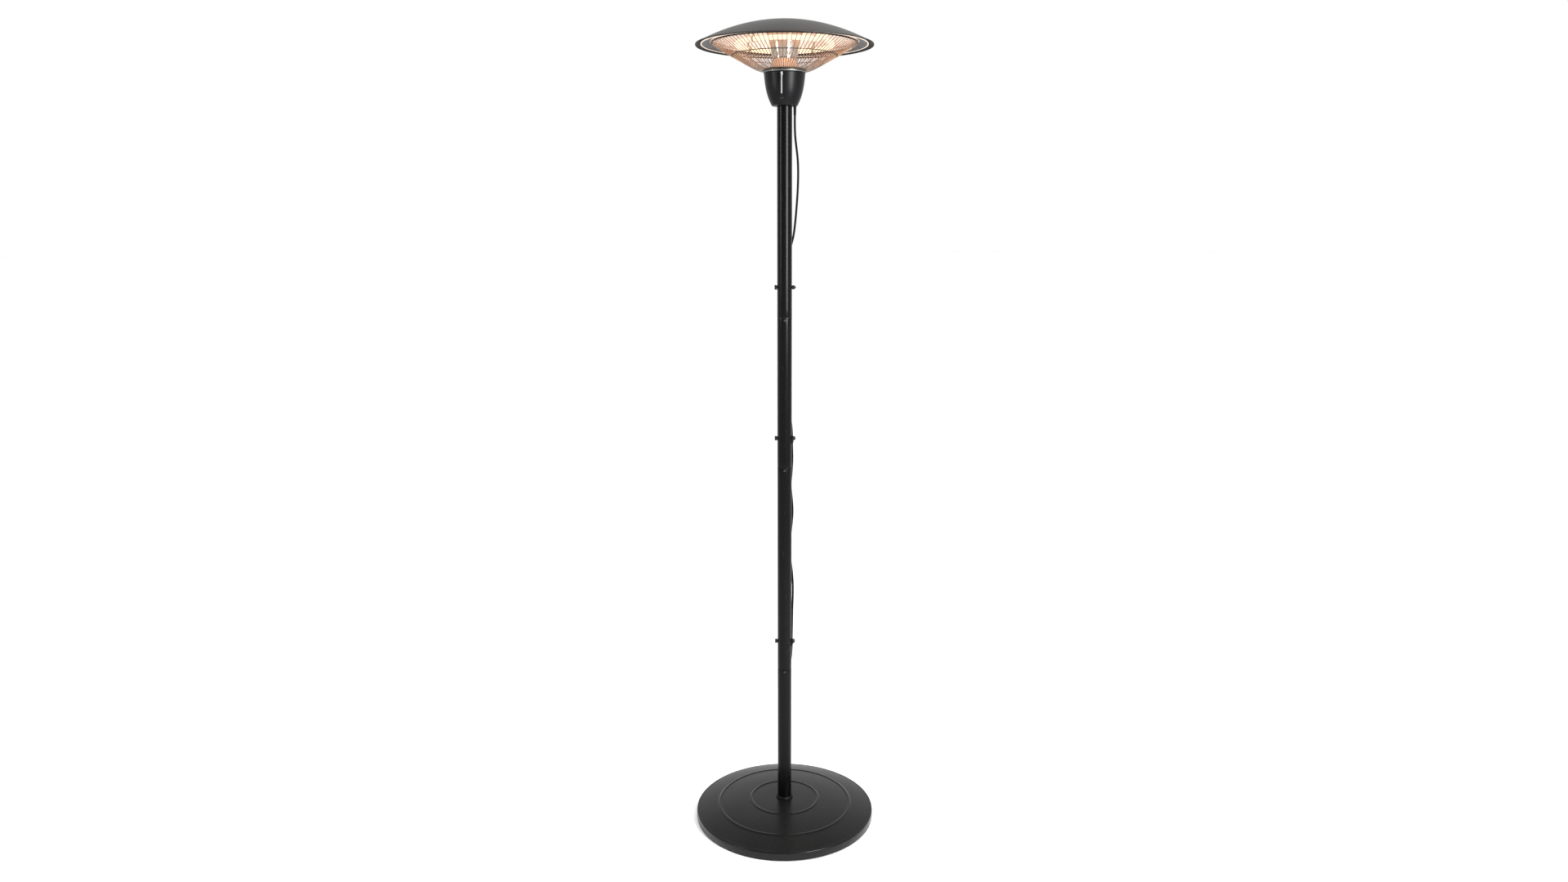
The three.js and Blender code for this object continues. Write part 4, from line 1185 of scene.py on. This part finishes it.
def plug_meshes():
    """Body: a circle swept along Y whose radius follows the outline, with grip ribs, a cosine of the distance
    along it, round its widest part. Pins: two rods with rounded ends and insulated shoulders."""
    outline = rounded([
        [0, 0], [0.0038, 0], [0.0056, 0.028], [0.0110, 0.033],
        [0.0170, 0.042], [0.0180, 0.046], [0.0180, 0.062], [0, 0.062],
    ], 0.0016, 6, closed=False)
    even, uneven = np.linspace(0, 1, 160), np.linspace(0, 1, len(outline))
    radius, distance = np.interp(even, uneven, outline[:, 0]), np.interp(even, uneven, outline[:, 1])
    angle = full_turn(64)
    gripped = (distance > 0.047) & (distance < 0.0600)
    ribs = np.where(gripped[:, None], 0.0004 * (np.cos(angle * 24) - 1), 0)
    grooved = (distance > 0.003) & (distance < 0.026) & (np.cos(distance / 0.0042 * 2 * np.pi) > 0.3)
    size = np.maximum((radius - 0.0006 * grooved)[:, None] + ribs, 0) * (radius[:, None] > 0)
    return [grid_mesh("plug", turned(plug_low.y + distance, size, 64, "y", (0, PLUG_Z)))]


def pin_meshes():
    """Rod along Y with a hemispherical tip: the radius falls as the cosine of the turn round the tip."""
    pin_r, start, end = 0.0024, plug_low.y + 0.0615, plug_high.y
    tip = np.linspace(0, np.pi / 2, 7)
    y = np.concatenate([[start, start, start + 0.004, start + 0.0042], end - pin_r + pin_r * np.sin(tip)])
    r = np.concatenate([[0, pin_r, pin_r, pin_r - 0.0001], pin_r * np.cos(tip)])
    return [grid_mesh("pin", turned(y, r, 24, "y", (x, PLUG_Z))) for x in (-0.0095, 0.0095)]


PLUG_RUBBER = rubber("plug_black_rubber", 0.012, 1800.0, 0.35)
PLUG = add_piece("plug_body", plug_meshes(), PLUG_RUBBER, ["mains_plug"])
PINS = add_piece("plug_pins", pin_meshes(), chromed("plug_pin_nickel", (0.80, 0.79, 0.76)), [])


# ---- Floor, light and camera ----
# A wide pale floor under soft studio light: a bright dome behind, a softbox to the right of the camera, a
# narrower one to its left, and a broad light straight above.
def floor_mesh(radius=60.0):
    """Disc: rings whose radius grows with the square of their index, and so finer near the heater."""
    ring = np.linspace(0, 1, 24) ** 2 * radius
    return lathe(np.stack([ring, np.zeros(24)], 1), 96, closed=False)


def floor_finish():
    """Pale matt studio floor with a barely visible mottle."""
    matt = Finish("studio_floor")
    mottle = matt.noise(3, 3)
    return matt.surface({
        "Base Color": matt.mix(mottle, (0.94, 0.94, 0.94, 1), (0.92, 0.92, 0.92, 1)),
        "Roughness": 0.9,
        "Specular IOR Level": 0.1,
    })


floor = placed("studio_floor", merged("studio_floor", [floor_mesh()]))
floor.data.materials.append(floor_finish())
floor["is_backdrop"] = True


def softbox(name, place, towards, size, power):
    """A rectangular lamp at a place, facing a point."""
    data = bpy.data.lights.new(name, "AREA")
    data.shape = "RECTANGLE"
    data.size, data.size_y = size
    data.energy = power
    box = placed(name, data)
    box.location = place
    direction = np.array(towards, float) - np.array(place, float)
    flat = math.hypot(direction[0], direction[1])
    tilt, heading = math.atan2(direction[2], flat), math.atan2(-direction[0], direction[1])
    box.rotation_euler = (math.pi / 2 + tilt, 0, heading)


softbox("right_softbox", (1.55, -1.95, 1.95), (0, 0, 1.6), (0.75, 1.5), 118)
softbox("left_softbox", (-2.3, -1.25, 2.0), (0, 0, 1.75), (0.35, 1.1), 22)
overhead = bpy.data.lights.new("overhead_light", "SUN")
overhead.energy = 2.3
overhead.angle = math.radians(70)
placed("overhead_light", overhead).visible_glossy = False


def studio_world():
    """White to the eye. As light: a bright horizon behind the heater, dimmer overhead, and nearly dark on the
    camera's side."""
    world = bpy.data.worlds.new("studio_world")
    sky = Nodes(world)
    direction = sky.node("ShaderNodeTexCoord", {}, {}, "Generated")
    behind = sky.part(direction, "Y").between(-0.5, 0.5)
    height = 1.10 - sky.part(direction, "Z").between(0.35, 0.95) * 0.70
    light = sky.node("ShaderNodeBackground", {}, {"Strength": behind * height + 0.10})
    seen = sky.node("ShaderNodeBackground", {}, {"Strength": 1.0, "Color": (1.0, 1.0, 1.0, 1.0)})
    eye = sky.node("ShaderNodeLightPath", {}, {}, "Is Camera Ray")
    choice = sky.node("ShaderNodeMixShader", {}, {0: eye, 1: light, 2: seen})
    sky.feed(sky.tree.nodes.new("ShaderNodeOutputWorld").inputs["Surface"], choice)
    return world


bpy.context.scene.world = studio_world()
bpy.context.scene.view_settings.view_transform = "Standard"

CAMERA_TILT_DOWN = 11.18
camera_data = bpy.data.cameras.new("camera")
camera_data.sensor_width = 36.0
camera_data.lens = 25.59
camera_data.clip_end = 100.0
camera = placed("camera", camera_data)
camera.location = (-0.0015, -2.887, 1.642)
camera.rotation_euler = (math.radians(90 - CAMERA_TILT_DOWN), 0.0, 0.0)
bpy.context.scene.camera = camera

low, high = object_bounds()
